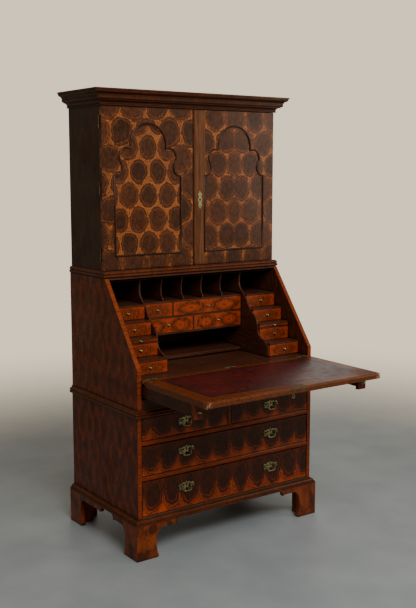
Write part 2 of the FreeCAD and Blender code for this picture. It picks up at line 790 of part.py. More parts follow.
def bail(node, x, z, y):
    """A swinging bail handle: pins at its two ends turn in the posts."""
    r, s = bail_corner_r, 5.0
    end, arm = post_x + 1.0, bail_arm_x
    y0, z0 = y - post_out, z + post_rise
    low = z0 - bail_drop
    k = 1 - math.sqrt(0.5)

    def at(a, b):
        return V(x + a, y0, b)

    half = [((end, z0), (arm + s, z0)), ((arm + s * k, z0 - s * k), (arm, z0 - s)),
            ((arm, z0 - s), (arm, low + r)), ((arm - r * k, low + r * k), (arm - r, low))]
    edges = []
    for side in (1, -1):
        (p0, p1), (m1, e1), (p2, p3), (m2, e2) = half
        run = [Part.makeLine(at(side * p0[0], p0[1]), at(side * p1[0], p1[1])),
               Part.Arc(at(side * p1[0], p1[1]), at(side * m1[0], m1[1]),
                        at(side * e1[0], e1[1])).toShape(),
               Part.makeLine(at(side * p2[0], p2[1]), at(side * p3[0], p3[1])),
               Part.Arc(at(side * p3[0], p3[1]), at(side * m2[0], m2[1]),
                        at(side * e2[0], e2[1])).toShape()]
        edges += run if side > 0 else []
        if side > 0:
            edges.append(Part.makeLine(at(arm - r, low), at(-(arm - r), low)))
        else:
            edges += list(reversed(run))
    path = Part.Wire(Part.__sortEdges__(edges))
    ring = Part.Wire([Part.makeCircle(bail_r, at(end, z0), V(1, 0, 0))])
    export(node, [path.makePipeShell([ring], True, False)])


def chest_drawer(name, x0, x1, z0, height, handles, lift):
    """Front, sides, back and bottom, then the handle plates on the front."""
    y0 = drawer_front_set
    y1 = y0 + drawer_front_t
    y_end = inside_back - drawer_back_clear
    g, s = drawer_side_gap, drawer_side_t
    low = z0 + run_gap
    high = z0 + height - drawer_top_clear
    front = box(x0 + drawer_gap, x1 - drawer_gap, y0, y1, z0 + drawer_gap,
                z0 + height - drawer_gap)
    left = box(x0 + g + 2, x0 + g + 2 + s, y1, y_end, low, high)
    right = box(x1 - g - 2 - s, x1 - g - 2, y1, y_end, low, high)
    inner0, inner1 = x0 + g + 2 + s, x1 - g - 2 - s
    back = box(inner0, inner1, y_end - s, y_end, low, high)
    floor = low + drawer_bottom_rise
    bottom = box(inner0, inner1, y1, y_end - s, floor, floor + drawer_bottom_t)
    pieces = [front, left, right, back, bottom]
    handle_z = z0 + height / 2 + lift
    for i, x in enumerate(handles):
        pieces += handle_plate(x, handle_z, y0)
        label = name if len(handles) == 1 else name + ("_left", "_right")[i]
        bail("bail_" + label, x, handle_z, y0)
    export("drawer_" + name, pieces)


def chest_drawers():
    half = chest_divider_t / 2
    pair = (-handle_x, handle_x)
    chest_drawer("short_left", -chest_in, -half, top_row_z, top_opening_h, pair[:1],
                 short_handle_lift)
    chest_drawer("short_right", half, chest_in, top_row_z, top_opening_h, pair[1:],
                 short_handle_lift)
    chest_drawer("upper_long", -chest_in, chest_in, mid_z, mid_opening_h, pair,
                 upper_handle_lift)
    chest_drawer("lower_long", -chest_in, chest_in, low_z, low_opening_h, pair,
                 lower_handle_lift)


# ---- cabinet ----
def cabinet_carcass():
    side = box(cabinet_in, cabinet_half, cabinet_front_y, depth, desk_top_z, cabinet_top_z)
    for z in door_hinge_levels():
        side = side.cut(door_leaf(z, False, 0.0))
        side = side.cut(door_knuckle_room(z))
    export("cabinet_sides", both(side))
    t = cabinet_board_t
    y1 = inside_back
    bottom = box(-cabinet_in, cabinet_in, cabinet_front_y, y1, desk_top_z, desk_top_z + t)
    top = box(-cabinet_in, cabinet_in, cabinet_front_y, y1, cabinet_top_z - t, cabinet_top_z)
    low_rail = box(-cabinet_half, cabinet_half, plinth_front_y, cabinet_front_y, desk_top_z,
                   desk_top_z + cabinet_mould_h)
    high_rail = box(-cabinet_half, cabinet_half, door_front_y, cabinet_front_y, cornice_z,
                    cabinet_top_z)
    pieces = [bottom, top, low_rail, high_rail]
    clear = cabinet_top_z - t - (desk_top_z + t)
    for i in range(1, cabinet_shelf_count + 1):
        z = desk_top_z + t + clear * i / (cabinet_shelf_count + 1)
        pieces.append(box(-cabinet_in, cabinet_in, cabinet_front_y + 12, y1, z,
                          z + cabinet_shelf_t))
    export("cabinet_boards", pieces)


def cabinet_moulding():
    o = cabinet_mould_out
    profile = [(0, 0), (o - 8, 0), (o - 6, 1.5), ((o, 8.5), (o - 5, 15.5)),
               ((o - 2, 22.0), (o - 7, 28.5)), (o - 9, cabinet_mould_h), (0, cabinet_mould_h)]
    export("cabinet_moulding", moulding(profile, cabinet_half, plinth_front_y, desk_top_z, o))


def cornice():
    o, h = cornice_out, cornice_h
    profile = ([(0, 0), (5, 0), ((9.5, 3.5), (6, 7)), (8, 8), ((11, 17), (22, 22)), (25, 22),
                (25, 26), (27, 26), ((34, 30), (33, 38)), (34, 38), (34, 42)]
               + [(36, 42)] + ogee((36, 42), (o - 4, h - 10)) + [(o - 4, h - 7), (o, h - 7)]
               + [(o, h), (0, h)])
    export("cornice", moulding(profile, cabinet_half, door_front_y, cornice_z, o))


# ---- doors ----
def arch_steps(grow=0.0):
    """The arched field's outline in (x, z): straight sides, coves, bulges and a crown."""
    g = grow
    base, shoulder = door_z + arch_bottom, door_z + arch_shoulder
    cove_z = shoulder + cove_r
    c = math.sqrt(0.5)
    w, waist = arch_half + g, arch_half - cove_r + g
    cove_grown = cove_r - g
    bulge, bulge_mid = bulge_half + g, door_z + bulge_z
    top_r = bulge_r + g
    step_z = bulge_mid + bulge_r + g
    crown = crown_r + g
    crown_mid = door_z + crown_z
    right = [(w, base - g), (w, shoulder + g)]
    if arch_half > w - 0.01:
        right.append((arch_half, shoulder + g))
    right.append(((arch_half - cove_grown * c, cove_z - cove_grown * c), (waist, cove_z)))
    right += ogee((waist, cove_z), (bulge, bulge_mid))
    right.append(((bulge - top_r * (1 - c), bulge_mid + top_r * c), (bulge - top_r, step_z)))
    right += [(crown, step_z), (crown, crown_mid)]
    return right, crown, crown_mid


def arch_wire(y, grow=0.0):
    """The closed outline on the right-hand door."""
    right, crown, crown_mid = arch_steps(grow)
    steps = list(right)
    steps.append(((0, crown_mid + crown), (-crown, crown_mid)))
    here_points = [right[0]]
    for step in right[1:]:
        here_points.append(step[-1] if isinstance(step[0], tuple) else step)
    for i in range(len(right) - 1, 0, -1):
        step, before = right[i], here_points[i - 1]
        if isinstance(step[0], tuple):
            steps.append(((-step[0][0], step[0][1]), (-before[0], before[1])))
        else:
            steps.append((-before[0], before[1]))
    return wire(steps, lambda x, z: V(arch_x + x, y, z))


def arch_solid(y0, y1, grow=0.0):
    return Part.Face(arch_wire(y0, grow)).extrude(V(0, y1 - y0, 0))


def door_hinge_levels():
    """Heights of the three hinges of a door."""
    low = door_z + door_hinge_inset
    high = door_z + door_height - door_hinge_inset
    return (low, (low + high) / 2, high)


def door_axis():
    """The hinge line of the right-hand door, just outside its back edge."""
    return cabinet_half + hinge_knuckle_r, cabinet_front_y - door_gap / 2


def door_knuckle_room(z):
    x, y = door_axis()
    half = door_hinge_h / 2
    return cyl_z(x, y, z - half, z + half, hinge_knuckle_r + 0.5)


def door_leaf(z, on_door, web):
    """A hinge leaf let into the door's back or the cabinet side's front edge."""
    half = door_hinge_h / 2
    x0 = cabinet_half - door_hinge_leaf
    x1 = cabinet_half + web
    back = cabinet_front_y - door_gap
    if on_door:
        return box(x0, x1, back - door_leaf_t, back, z - half, z + half)
    return box(x0, x1, cabinet_front_y, cabinet_front_y + door_leaf_t, z - half, z + half)


def door_hinge(z, on_door):
    x, y = door_axis()
    third = door_hinge_h / 6
    spans = [(z - third, z + third)]
    if on_door:
        spans = [(z - 3 * third, z - third - 0.3), (z + third + 0.3, z + 3 * third)]
    room = door_knuckle_room(z)
    leaf = door_leaf(z, on_door, 0.0).cut(room)
    for z0, z1 in spans:
        zone = box(cabinet_half - 6, x, y - 6, y + 6, z0, z1)
        web = door_leaf(z, on_door, hinge_knuckle_r).common(zone)
        leaf = leaf.fuse(web).fuse(cyl_z(x, y, z0, z1, hinge_knuckle_r))
    if on_door:
        leaf = leaf.cut(cyl_z(x, y, z - 50, z + 50, hinge_pin_r + pin_gap))
    else:
        leaf = leaf.fuse(cyl_z(x, y, z - 3 * third + 1, z + 3 * third - 1, hinge_pin_r))
    return leaf.removeSplitter().Solids[0]


def door_frame():
    x0, x1 = door_in, cabinet_half
    y0, y1 = door_front_y, door_front_y + door_t
    frame = box(x0, x1, y0, y1, door_z, door_z + door_height)
    frame = frame.cut(arch_solid(y0 - 1, y1 + 1))
    top = door_z + crown_z + crown_r + panel_rebate
    rebate = box(arch_x - arch_half - panel_rebate, arch_x + arch_half + panel_rebate,
                 y1 - panel_t, y1 + 1, door_z + arch_bottom - panel_rebate, top)
    frame = frame.cut(rebate)
    for z in door_hinge_levels():
        frame = frame.cut(door_leaf(z, True, 0.0)).cut(door_knuckle_room(z))
    return frame.Solids[0]


def door_panel():
    y1 = door_front_y + door_t
    g = panel_gap
    top = door_z + crown_z + crown_r + panel_rebate
    board = box(arch_x - arch_half - panel_rebate + g, arch_x + arch_half + panel_rebate - g,
                y1 - panel_t + g, y1, door_z + arch_bottom - panel_rebate + g, top - g)
    field = arch_solid(door_front_y + panel_sink, y1 - panel_t + g, -g)
    return board.fuse(field).removeSplitter().Solids[0]


def door_bead():
    """The half-round bead over the joint between the frame and the arched panel."""
    y = door_front_y
    half, inner = bead_w / 2, bead_w / 3.5
    lower = arch_solid(y - bead_out / 2, y, half).cut(arch_solid(y - bead_out, y + 1, -half))
    upper = arch_solid(y - bead_out, y - bead_out / 2, inner)
    upper = upper.cut(arch_solid(y - bead_out - 1, y, -inner))
    return lower.fuse(upper).removeSplitter().Solids[0]


def doors():
    frame, panel, bead = door_frame(), door_panel(), door_bead()
    leaves = [door_hinge(z, True) for z in door_hinge_levels()]
    export("door_left_frame", [mirrored(frame)])
    export("door_left_panel", [mirrored(panel)])
    export("door_left_bead", [mirrored(bead)])
    export("door_left_hinges", [mirrored(s) for s in leaves])
    export("door_right_frame", [frame])
    export("door_right_panel", [panel])
    x0, x1 = door_in, door_in + meeting_bead_w
    meeting = slab_z([(x0, door_front_y), (x0 + 1.5, door_front_y - bead_out),
                      (x1 - 1.5, door_front_y - bead_out), (x1, door_front_y)],
                     door_z, door_z + door_height)
    export("door_right_bead", [bead, meeting])
    export("door_right_hinges", leaves + door_lock())


def door_lock():
    """Keyhole plate on the right door's inner stile and the lock behind it."""
    x, z = 40.0, door_z + 310.0
    half_w, half_h = 12.5, 43.5
    shape = [(0, 1), (0.45, 0.8), (0.95, 0.62), (0.6, 0.3), (1, 0), (0.6, -0.3),
             (0.95, -0.62), (0.45, -0.8), (0, -1)]
    points = shape + [(-a, b) for a, b in reversed(shape[1:-1])]
    face = smooth_face([(x + a * half_w, z + b * half_h) for a, b in points],
                       door_front_y - plate_t)
    plate = face.extrude(V(0, plate_t, 0))
    keyhole = cyl_y(x, z + 3, door_front_y - 5, door_front_y + 1, 3.0)
    slot = box(x - 1.4, x + 1.4, door_front_y - 5, door_front_y + 1, z - 9, z + 3)
    plate = plate.cut(keyhole).cut(slot)
    back = door_front_y + door_t
    body = box(6.0, 58.0, back, back + 11.0, z - 34, z + 34)
    return [plate.Solids[0], body]


def fixed_hinge_leaves():
    pieces = [flap_hinge(x, 1) for x in (-hinge_x, 0.0, hinge_x)]
    for z in door_hinge_levels():
        pieces += both(door_hinge(z, False))
    export("fixed_hinge_leaves", pieces)


chest_carcass()
chest_rails()
chest_dust_boards()
base_moulding()
bracket_feet()
waist_moulding()
back_boards()
desk_carcass()
writing_bed()
desk_frieze()
loper(-1)
loper(1)
flap_key(flap())
bank_partitions()
bank_shelves()
centre_shelves()
pigeonhole_dividers()
small_drawers()
chest_drawers()
cabinet_carcass()
cabinet_moulding()
cornice()
doors()
fixed_hinge_leaves()
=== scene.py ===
import math
import bmesh
import bpy
from mathutils import Matrix, Vector


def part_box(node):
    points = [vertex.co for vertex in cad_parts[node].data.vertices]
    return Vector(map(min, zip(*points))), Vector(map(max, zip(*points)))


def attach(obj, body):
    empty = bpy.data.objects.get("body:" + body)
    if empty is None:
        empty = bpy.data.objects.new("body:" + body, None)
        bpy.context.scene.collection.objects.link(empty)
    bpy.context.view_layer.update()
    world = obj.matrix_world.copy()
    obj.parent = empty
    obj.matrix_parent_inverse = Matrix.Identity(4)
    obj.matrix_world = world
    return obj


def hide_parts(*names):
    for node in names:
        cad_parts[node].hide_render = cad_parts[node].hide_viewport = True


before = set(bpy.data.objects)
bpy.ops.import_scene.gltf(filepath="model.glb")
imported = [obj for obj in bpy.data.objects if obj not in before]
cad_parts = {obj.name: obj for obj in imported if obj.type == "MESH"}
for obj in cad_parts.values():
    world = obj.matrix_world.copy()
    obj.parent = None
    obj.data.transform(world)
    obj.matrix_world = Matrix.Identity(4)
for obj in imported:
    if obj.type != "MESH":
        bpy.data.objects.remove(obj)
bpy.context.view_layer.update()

# Looks of the walnut secretary desk: oyster veneers, cross-banded mouldings, brass and leather.
# Metres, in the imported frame; x runs across the front, y to the back, z up.
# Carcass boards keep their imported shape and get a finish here.
# Drawers, lopers, door beads and bails are made again as separate wood and brass pieces.

MM = 0.001


# ---- shader tools ----
class Tree:
    """Short ways to add and join shader nodes."""

    def __init__(self, tree):
        self.tree = tree

    def add(self, kind, **settings):
        node = self.tree.nodes.new(kind)
        for name, value in settings.items():
            setattr(node, name, value)
        return node

    def feed(self, socket, value):
        if isinstance(value, bpy.types.NodeSocket):
            self.tree.links.new(value, socket)
        elif value is not None:
            socket.default_value = value

    def sum(self, op, a, b=None, c=None):
        node = self.add("ShaderNodeMath", operation=op)
        for socket, value in zip(node.inputs, (a, b, c)):
            self.feed(socket, value)
        return node.outputs[0]

    def arrow(self, op, a, b=None, scale=None):
        node = self.add("ShaderNodeVectorMath", operation=op)
        self.feed(node.inputs[0], a)
        self.feed(node.inputs[1], b)
        if scale is not None:
            self.feed(node.inputs["Scale"], scale)
        return node.outputs["Value" if op in ("LENGTH", "DOT_PRODUCT", "DISTANCE") else "Vector"]

    def parts(self, vector):
        node = self.add("ShaderNodeSeparateXYZ")
        self.feed(node.inputs[0], vector)
        return node.outputs

    def join(self, x, y, z=0.0):
        node = self.add("ShaderNodeCombineXYZ")
        for socket, value in zip(node.inputs, (x, y, z)):
            self.feed(socket, value)
        return node.outputs[0]

    def mix(self, mask, a, b):
        """Colour a where mask is 0, colour b where it is 1."""
        node = self.add("ShaderNodeMix", data_type="RGBA")
        self.feed(node.inputs["Factor"], mask)
        self.feed(node.inputs[6], a)
        self.feed(node.inputs[7], b)
        return node.outputs[2]

    def pick(self, mask, a, b):
        """The same for plain numbers."""
        node = self.add("ShaderNodeMix", data_type="FLOAT")
        self.feed(node.inputs["Factor"], mask)
        self.feed(node.inputs[2], a)
        self.feed(node.inputs[3], b)
        return node.outputs[0]

    def rise(self, value, low, high, to_low=0.0, to_high=1.0):
        """A smooth step from to_low at low to to_high at high."""
        node = self.add("ShaderNodeMapRange", interpolation_type="SMOOTHSTEP")
        for socket, number in zip(node.inputs, (value, low, high, to_low, to_high)):
            self.feed(socket, number)
        return node.outputs[0]

    def noise(self, vector, scale, detail=3.0, rough=0.55):
        return self.cloudy(vector, scale, detail, rough).outputs["Fac"]

    def cloudy(self, vector, scale, detail, rough=0.55):
        node = self.add("ShaderNodeTexNoise")
        self.feed(node.inputs["Vector"], vector)
        self.feed(node.inputs["Scale"], scale)
        self.feed(node.inputs["Detail"], detail)
        self.feed(node.inputs["Roughness"], rough)
        return node

    def drift(self, vector, scale):
        """A slowly turning vector of about half a unit each way, for bending a figure."""
        cloud = self.cloudy(vector, scale, 2.0).outputs["Color"]
        return self.arrow("SUBTRACT", cloud, (0.5, 0.5, 0.5))

    def chance(self, vector):
        """One random number for each whole-number place."""
        node = self.add("ShaderNodeTexWhiteNoise", noise_dimensions="3D")
        self.feed(node.inputs["Vector"], vector)
        return node.outputs["Value"]

    def object_place(self):
        return self.add("ShaderNodeTexCoord").outputs["Object"]

    def facing(self):
        """The three parts of the surface's direction."""
        return self.parts(self.add("ShaderNodeTexCoord").outputs["Normal"])

    def between(self, mask, dark, light):
        """A colour from one sRGB shade to another."""
        return self.mix(mask, shade_of(*dark), shade_of(*light))

    def stain(self, colour, mask, shade, share=1.0):
        """colour turned towards an sRGB shade where mask is 1, by share at most."""
        if share < 1.0:
            mask = self.sum("MULTIPLY", mask, share)
        return self.mix(mask, colour, shade_of(*shade))

    def group(self, tree, **values):
        node = self.add("ShaderNodeGroup", node_tree=tree)
        for name, value in values.items():
            self.feed(node.inputs[name.replace("_", " ")], value)
        return node.outputs


def shader_group(name, inputs, outputs, build):
    """A shared node group: inputs is {name: default}, outputs is a row of names."""
    tree = bpy.data.node_groups.new(name, "ShaderNodeTree")
    for label, default in inputs.items():
        kind = "NodeSocketVector" if isinstance(default, tuple) else "NodeSocketFloat"
        socket = tree.interface.new_socket(label, in_out="INPUT", socket_type=kind)
        socket.default_value = default
    for label in outputs:
        kind = "NodeSocketVector" if label in ("Plane", "Normal") else "NodeSocketFloat"
        tree.interface.new_socket(label, in_out="OUTPUT", socket_type=kind)
    t = Tree(tree)
    given = t.add("NodeGroupInput").outputs
    sink = t.add("NodeGroupOutput")
    for label, value in build(t, given).items():
        t.feed(sink.inputs[label], value)
    return tree


# ---- shared effects ----
def build_face_plane(t, given):
    """Flat coordinates on whichever way a board faces: across, up, and the depth."""
    coord = t.add("ShaderNodeTexCoord")
    x, y, z = t.parts(coord.outputs["Object"])[:]
    nx, ny, nz = t.parts(t.arrow("ABSOLUTE", coord.outputs["Normal"]))[:]
    side = t.sum("GREATER_THAN", nx, t.sum("MAXIMUM", ny, nz))
    top = t.sum("GREATER_THAN", nz, t.sum("MAXIMUM", nx, ny))
    across = t.pick(side, x, y)
    up = t.pick(top, z, y)
    depth = t.pick(top, t.pick(side, y, x), z)
    return {"Plane": t.join(across, up, depth), "Side": side}


def build_oysters(t, given):
    """Staggered rows of oval slices: dark heart with growth rings, pale sapwood between."""
    spot = given["Plane"]
    broad, fine = t.drift(spot, 14.0), t.drift(spot, 70.0)
    spot = t.arrow("ADD", spot, t.arrow("SCALE", broad, scale=given["Wander"]))
    small_wander = t.sum("MULTIPLY", given["Wander"], 0.3)
    spot = t.arrow("ADD", spot, t.arrow("SCALE", fine, scale=small_wander))
    x, z, _ = t.parts(spot)[:]
    across = t.sum("DIVIDE", t.sum("SUBTRACT", x, given["Centre"]), given["Width"])
    up = t.sum("DIVIDE", t.sum("SUBTRACT", z, given["Row"]), given["Pitch"])
    both = []
    for shift in (0.0, 1.0):
        u = t.sum("ADD", across, 0.5 + 0.5 * shift)
        v = t.sum("MULTIPLY", t.sum("ADD", up, 1.0 + shift), 0.5)
        cell = t.join(t.sum("FLOOR", u), t.sum("FLOOR", v), shift * 7.3 + 1.9)
        lx = t.sum("SUBTRACT", t.sum("FRACT", u), 0.5)
        ly = t.sum("MULTIPLY", t.sum("SUBTRACT", t.sum("FRACT", v), 0.5), 2.0)
        reach = t.arrow("LENGTH", t.join(lx, t.sum("DIVIDE", ly, given["Tall"])))
        both.append((cell, t.sum("MULTIPLY", reach, 2.0), lx))
    (cell_a, far_a, lx_a), (cell_b, far_b, lx_b) = both
    second = t.sum("LESS_THAN", far_b, far_a)
    cell = t.mix(second, cell_a, cell_b)
    reach = t.sum("MINIMUM", far_a, far_b)
    lx = t.sum("ABSOLUTE", t.pick(second, lx_a, lx_b))
    tone = t.chance(t.arrow("ADD", cell, t.join(given["Seed"], 0.0)))
    spread = t.sum("MULTIPLY", t.sum("SUBTRACT", tone, 0.5), given["Vary"])
    size = t.sum("MULTIPLY", given["Heart"], t.sum("ADD", 1.0, t.sum("MULTIPLY", spread, 2.0)))
    chatter = t.sum("SUBTRACT", t.noise(given["Plane"], 80.0, 5.0), 0.5)
    ragged = t.sum("MULTIPLY", chatter, given["Ragged"])
    rim = t.sum("SUBTRACT", t.sum("ADD", reach, ragged), size)
    inner = t.sum("MULTIPLY", given["Blur"], -1.0)
    heart = t.rise(rim, inner, given["Blur"], 1.0, 0.0)
    wave = t.sum("ADD", reach, t.sum("MULTIPLY", ragged, 0.4))
    wave = t.sum("ADD", t.sum("MULTIPLY", wave, given["Rings"]), t.sum("MULTIPLY", tone, 6.0))
    rings = t.sum("MULTIPLY_ADD", t.sum("SINE", t.sum("MULTIPLY", wave, math.tau)), 0.5, 0.5)
    line = t.sum("MULTIPLY", t.rise(rim, -0.24, -0.18), t.rise(rim, -0.16, -0.10, 1.0, 0.0))
    smoke = t.rise(t.noise(given["Plane"], 44.0, 5.0, 0.7), 0.42, 0.60)
    gap = t.sum("ABSOLUTE", t.sum("SUBTRACT", far_a, far_b))
    joint = t.sum("MINIMUM", gap, t.sum("MULTIPLY", t.sum("SUBTRACT", 0.5, lx), 2.6))
    seam = t.rise(joint, 0.005, 0.035, 1.0, 0.0)
    halo = t.sum("MULTIPLY", t.rise(joint, 0.03, 0.08), t.rise(joint, 0.1, 0.2, 1.0, 0.0))
    patch = t.rise(t.noise(given["Plane"], 7.0, 3.0), 0.38, 0.62, 0.2, 1.0)
    glow = t.sum("MAXIMUM", t.rise(rim, 0.18, 0.36), t.sum("MULTIPLY", halo, 0.6))
    glow = t.sum("MULTIPLY", glow, patch)
    return {"Heart": heart, "Rings": rings, "Seam": seam, "Tone": tone, "Line": line,
            "Glow": glow, "Smoke": smoke}


def build_grain(t, given):
    """Long streaks, fine fibres and short pores; Stretch shortens each direction's detail."""
    laid = t.arrow("MULTIPLY", given["Plane"], given["Stretch"])
    bend = t.drift(given["Plane"], 6.0)
    laid = t.arrow("ADD", laid, t.arrow("SCALE", bend, scale=given["Curl"]))
    streak = t.noise(laid, 1.0, 5.0, 0.6)
    fibre = t.noise(laid, 4.0, 6.0, 0.7)
    pores = t.rise(t.noise(t.arrow("SCALE", laid, scale=9.0), 1.0, 1.0), 0.60, 0.70)
    return {"Streak": t.rise(streak, 0.32, 0.68), "Fibre": fibre, "Pores": pores}


def build_age(t, given):
    """Rubbed edges, painted shade and dirt in corners and hollows, cloudy polish, and a normal
    with softened edges.
    """
    soft = t.add("ShaderNodeBevel", samples=4)
    t.feed(soft.inputs["Radius"], given["Softness"])
    true = t.add("ShaderNodeNewGeometry").outputs["Normal"]
    turn = t.sum("SUBTRACT", 1.0, t.arrow("DOT_PRODUCT", soft.outputs[0], true))
    place = t.object_place()
    patch = t.noise(place, 23.0, 4.0)
    wear = t.sum("MULTIPLY", t.rise(turn, 0.02, 0.16), t.rise(patch, 0.36, 0.62))
    # painted shade: one minus ambient occlusion, dark in corners, hollows and between parts, also
    # taken as grime
    shade = t.add("ShaderNodeAmbientOcclusion", samples=6)
    t.feed(shade.inputs["Distance"], given["Depth"])
    shade_and_grime = t.sum("SUBTRACT", 1.0, shade.outputs["AO"])
    cloud = t.noise(place, 5.0, 4.0)
    return {"Wear": wear, "ShadeAndGrime": shade_and_grime, "Cloud": cloud, "Normal": soft.outputs[0]}


face_plane = shader_group("face plane", {}, ("Plane", "Side"), build_face_plane)
oysters = shader_group(
    "oyster slices",
    {"Plane": (0.0, 0.0, 0.0), "Centre": 0.0, "Row": 0.0, "Width": 0.1, "Pitch": 0.11,
     "Tall": 1.1, "Heart": 0.93, "Rings": 9.0, "Wander": 0.01, "Blur": 0.05, "Vary": 0.06,
     "Ragged": 0.42, "Seed": 0.0},
    ("Heart", "Rings", "Seam", "Tone", "Line", "Glow", "Smoke"), build_oysters)
grain = shader_group(
    "walnut grain", {"Plane": (0.0, 0.0, 0.0), "Stretch": (60.0, 8.0, 60.0), "Curl": 0.4},
    ("Streak", "Fibre", "Pores"), build_grain)
age = shader_group(
    "age and wear", {"Softness": 0.0015, "Depth": 0.03},
    ("Wear", "ShadeAndGrime", "Cloud", "Normal"), build_age)


# ---- colours, sRGB from 0 to 255 ----
# oyster colours: heart dark, heart light, sapwood, pale sapwood
DOOR_COLOURS = ((30, 14, 9), (92, 48, 27), (124, 64, 28), (178, 102, 46))
DRAWER_COLOURS = ((34, 11, 5), (66, 24, 10), (134, 46, 10), (166, 66, 18))
SIDE_COLOURS = ((46, 15, 6), (94, 33, 12), (128, 49, 16), (160, 70, 24))
CABINET_SIDE_COLOURS = ((28, 11, 5), (48, 19, 9), (66, 27, 12), (84, 36, 15))
SMALL_COLOURS = ((48, 14, 6), (80, 26, 10), (146, 46, 13), (176, 80, 30))
# edge bands: dark, middle, light
EDGE_BAND = ((84, 29, 9), (128, 48, 16), (156, 68, 26))
DARK_BAND = ((42, 17, 8), (68, 29, 13), (92, 44, 20))
INSIDE = ((44, 21, 12), (78, 40, 22))
MEETING_STILE = ((62, 33, 18), (104, 60, 32))
FLAP_BAND = ((60, 26, 11), (98, 46, 19), (122, 64, 28))
INLAID_LINE = (24, 10, 5)
BARE_CORNER = (176, 138, 104)
# near-black painted shade, with some grime, for corners and hollows
SHADE_AND_GRIME = (14, 6, 3)
KNOT_EYE = (60, 22, 10)
# the second colour here is painted shade with dust for the drawer boxes' corners
RAW_PORES, RAW_SHADE_AND_DUST = (60, 38, 20), (40, 24, 14)
BRASS_DIRT, BRASS_RUBBED = (52, 44, 22), (226, 200, 140)
LEATHER = ((48, 2, 5), (76, 4, 7))
LEATHER_RIM, LEATHER_TOOLING = (28, 7, 7), (30, 6, 6)

VENEER_GRAIN = (130.0, 40.0, 130.0)


# ---- finishes ----
def shade_of(r, g, b):
    """An sRGB colour as the shader's linear colour."""
    def linear(c):
        c = c / 255.0
        return c / 12.92 if c <= 0.04045 else ((c + 0.055) / 1.055) ** 2.4
    return (linear(r), linear(g), linear(b), 1.0)


def new_finish(name):
    material = bpy.data.materials.new(name)
    material.use_nodes = True
    t = Tree(material.node_tree)
    skin = material.node_tree.nodes["Principled BSDF"]
    return material, t, skin


def set_skin(skin, **values):
    """Plain numbers on the shader's own sockets."""
    for name, value in values.items():
        skin.inputs[name.replace("_", " ")].default_value = value


def bump(t, height, strength, normal, distance=0.6 * MM):
    node = t.add("ShaderNodeBump")
    t.feed(node.inputs["Strength"], strength)
    t.feed(node.inputs["Distance"], distance)
    t.feed(node.inputs["Height"], height)
    t.feed(node.inputs["Normal"], normal)
    return node.outputs[0]


def polish(t, skin, colour, relief, old, rough=(0.34, 0.5), coat=0.12, worn=(150, 84, 40)):
    """French-polished wood: painted shade and dirt darkening corners, rubbed edges, and a clear
    top coat.
    """
    # painted shade: corners and hollows turned nearly black by the occlusion mask, with some
    # grime
    colour = t.stain(colour, t.rise(old["ShadeAndGrime"], 0.08, 0.7, 0.0, 0.9), SHADE_AND_GRIME)
    colour = t.stain(colour, old["Wear"], worn, 0.45)
    t.feed(skin.inputs["Base Color"], colour)
    t.feed(skin.inputs["Roughness"], t.rise(old["Cloud"], 0.3, 0.7, *rough))
    t.feed(skin.inputs["Normal"], bump(t, relief, 0.35, old["Normal"]))
    set_skin(skin, Coat_Weight=coat, Coat_Roughness=0.16, Specular_IOR_Level=0.25,
             Specular_Tint=(1.0, 0.72, 0.48, 1.0))


def oyster_colour(t, cut, fibres, heart_dark, heart_light, sap, sap_light):
    """Colours one set of oyster slices: mottled hearts, ringed rims and glowing sapwood."""
    mottle = t.sum("MULTIPLY_ADD", fibres["Streak"], 0.6, t.sum("MULTIPLY", cut["Tone"], 0.5))
    deep = t.between(mottle, heart_dark, heart_light)
    deep = t.stain(deep, cut["Rings"], heart_dark, 0.35)
    deep = t.stain(deep, cut["Smoke"], heart_dark, 0.5)
    deep = t.stain(deep, cut["Line"], sap, 0.5)
    pale = t.between(t.sum("MULTIPLY", fibres["Streak"], 0.6), heart_light, sap)
    pale = t.stain(pale, t.rise(cut["Rings"], 0.5, 0.95), sap_light, 0.7)
    pale = t.stain(pale, cut["Glow"], sap_light)
    pale = t.stain(pale, cut["Seam"], heart_light, 0.7)
    return t.mix(cut["Heart"], pale, deep)


def oyster_finish(name, shapes, colours, mirror_at=None, extra=None):
    """A veneer of oyster slices with a plain back. mirror_at folds the figure about an upright
    line; extra changes the face's colour."""
    material, t, skin = new_finish(name)
    plane = t.group(face_plane)["Plane"]
    figure = plane
    if mirror_at is not None:
        x, z, y = t.parts(plane)[:]
        figure = t.join(t.sum("ABSOLUTE", t.sum("SUBTRACT", x, mirror_at)), z, y)
    fibres = t.group(grain, Plane=plane, Stretch=VENEER_GRAIN, Curl=1.4)
    cut = t.group(oysters, Plane=figure, **shapes)
    colour = oyster_colour(t, cut, fibres, *colours)
    if extra is not None:
        colour = extra(t, plane, cut, fibres, colour)
    inside = t.between(fibres["Streak"], *INSIDE)
    colour = t.mix(t.rise(t.facing()[1], 0.2, 0.6), colour, inside)
    old = t.group(age, Softness=1.2 * MM, Depth=20.0 * MM)
    relief = t.sum("ADD", t.sum("MULTIPLY", cut["Rings"], 0.4), fibres["Fibre"])
    polish(t, skin, colour, relief, old, (0.32, 0.48))
    return material


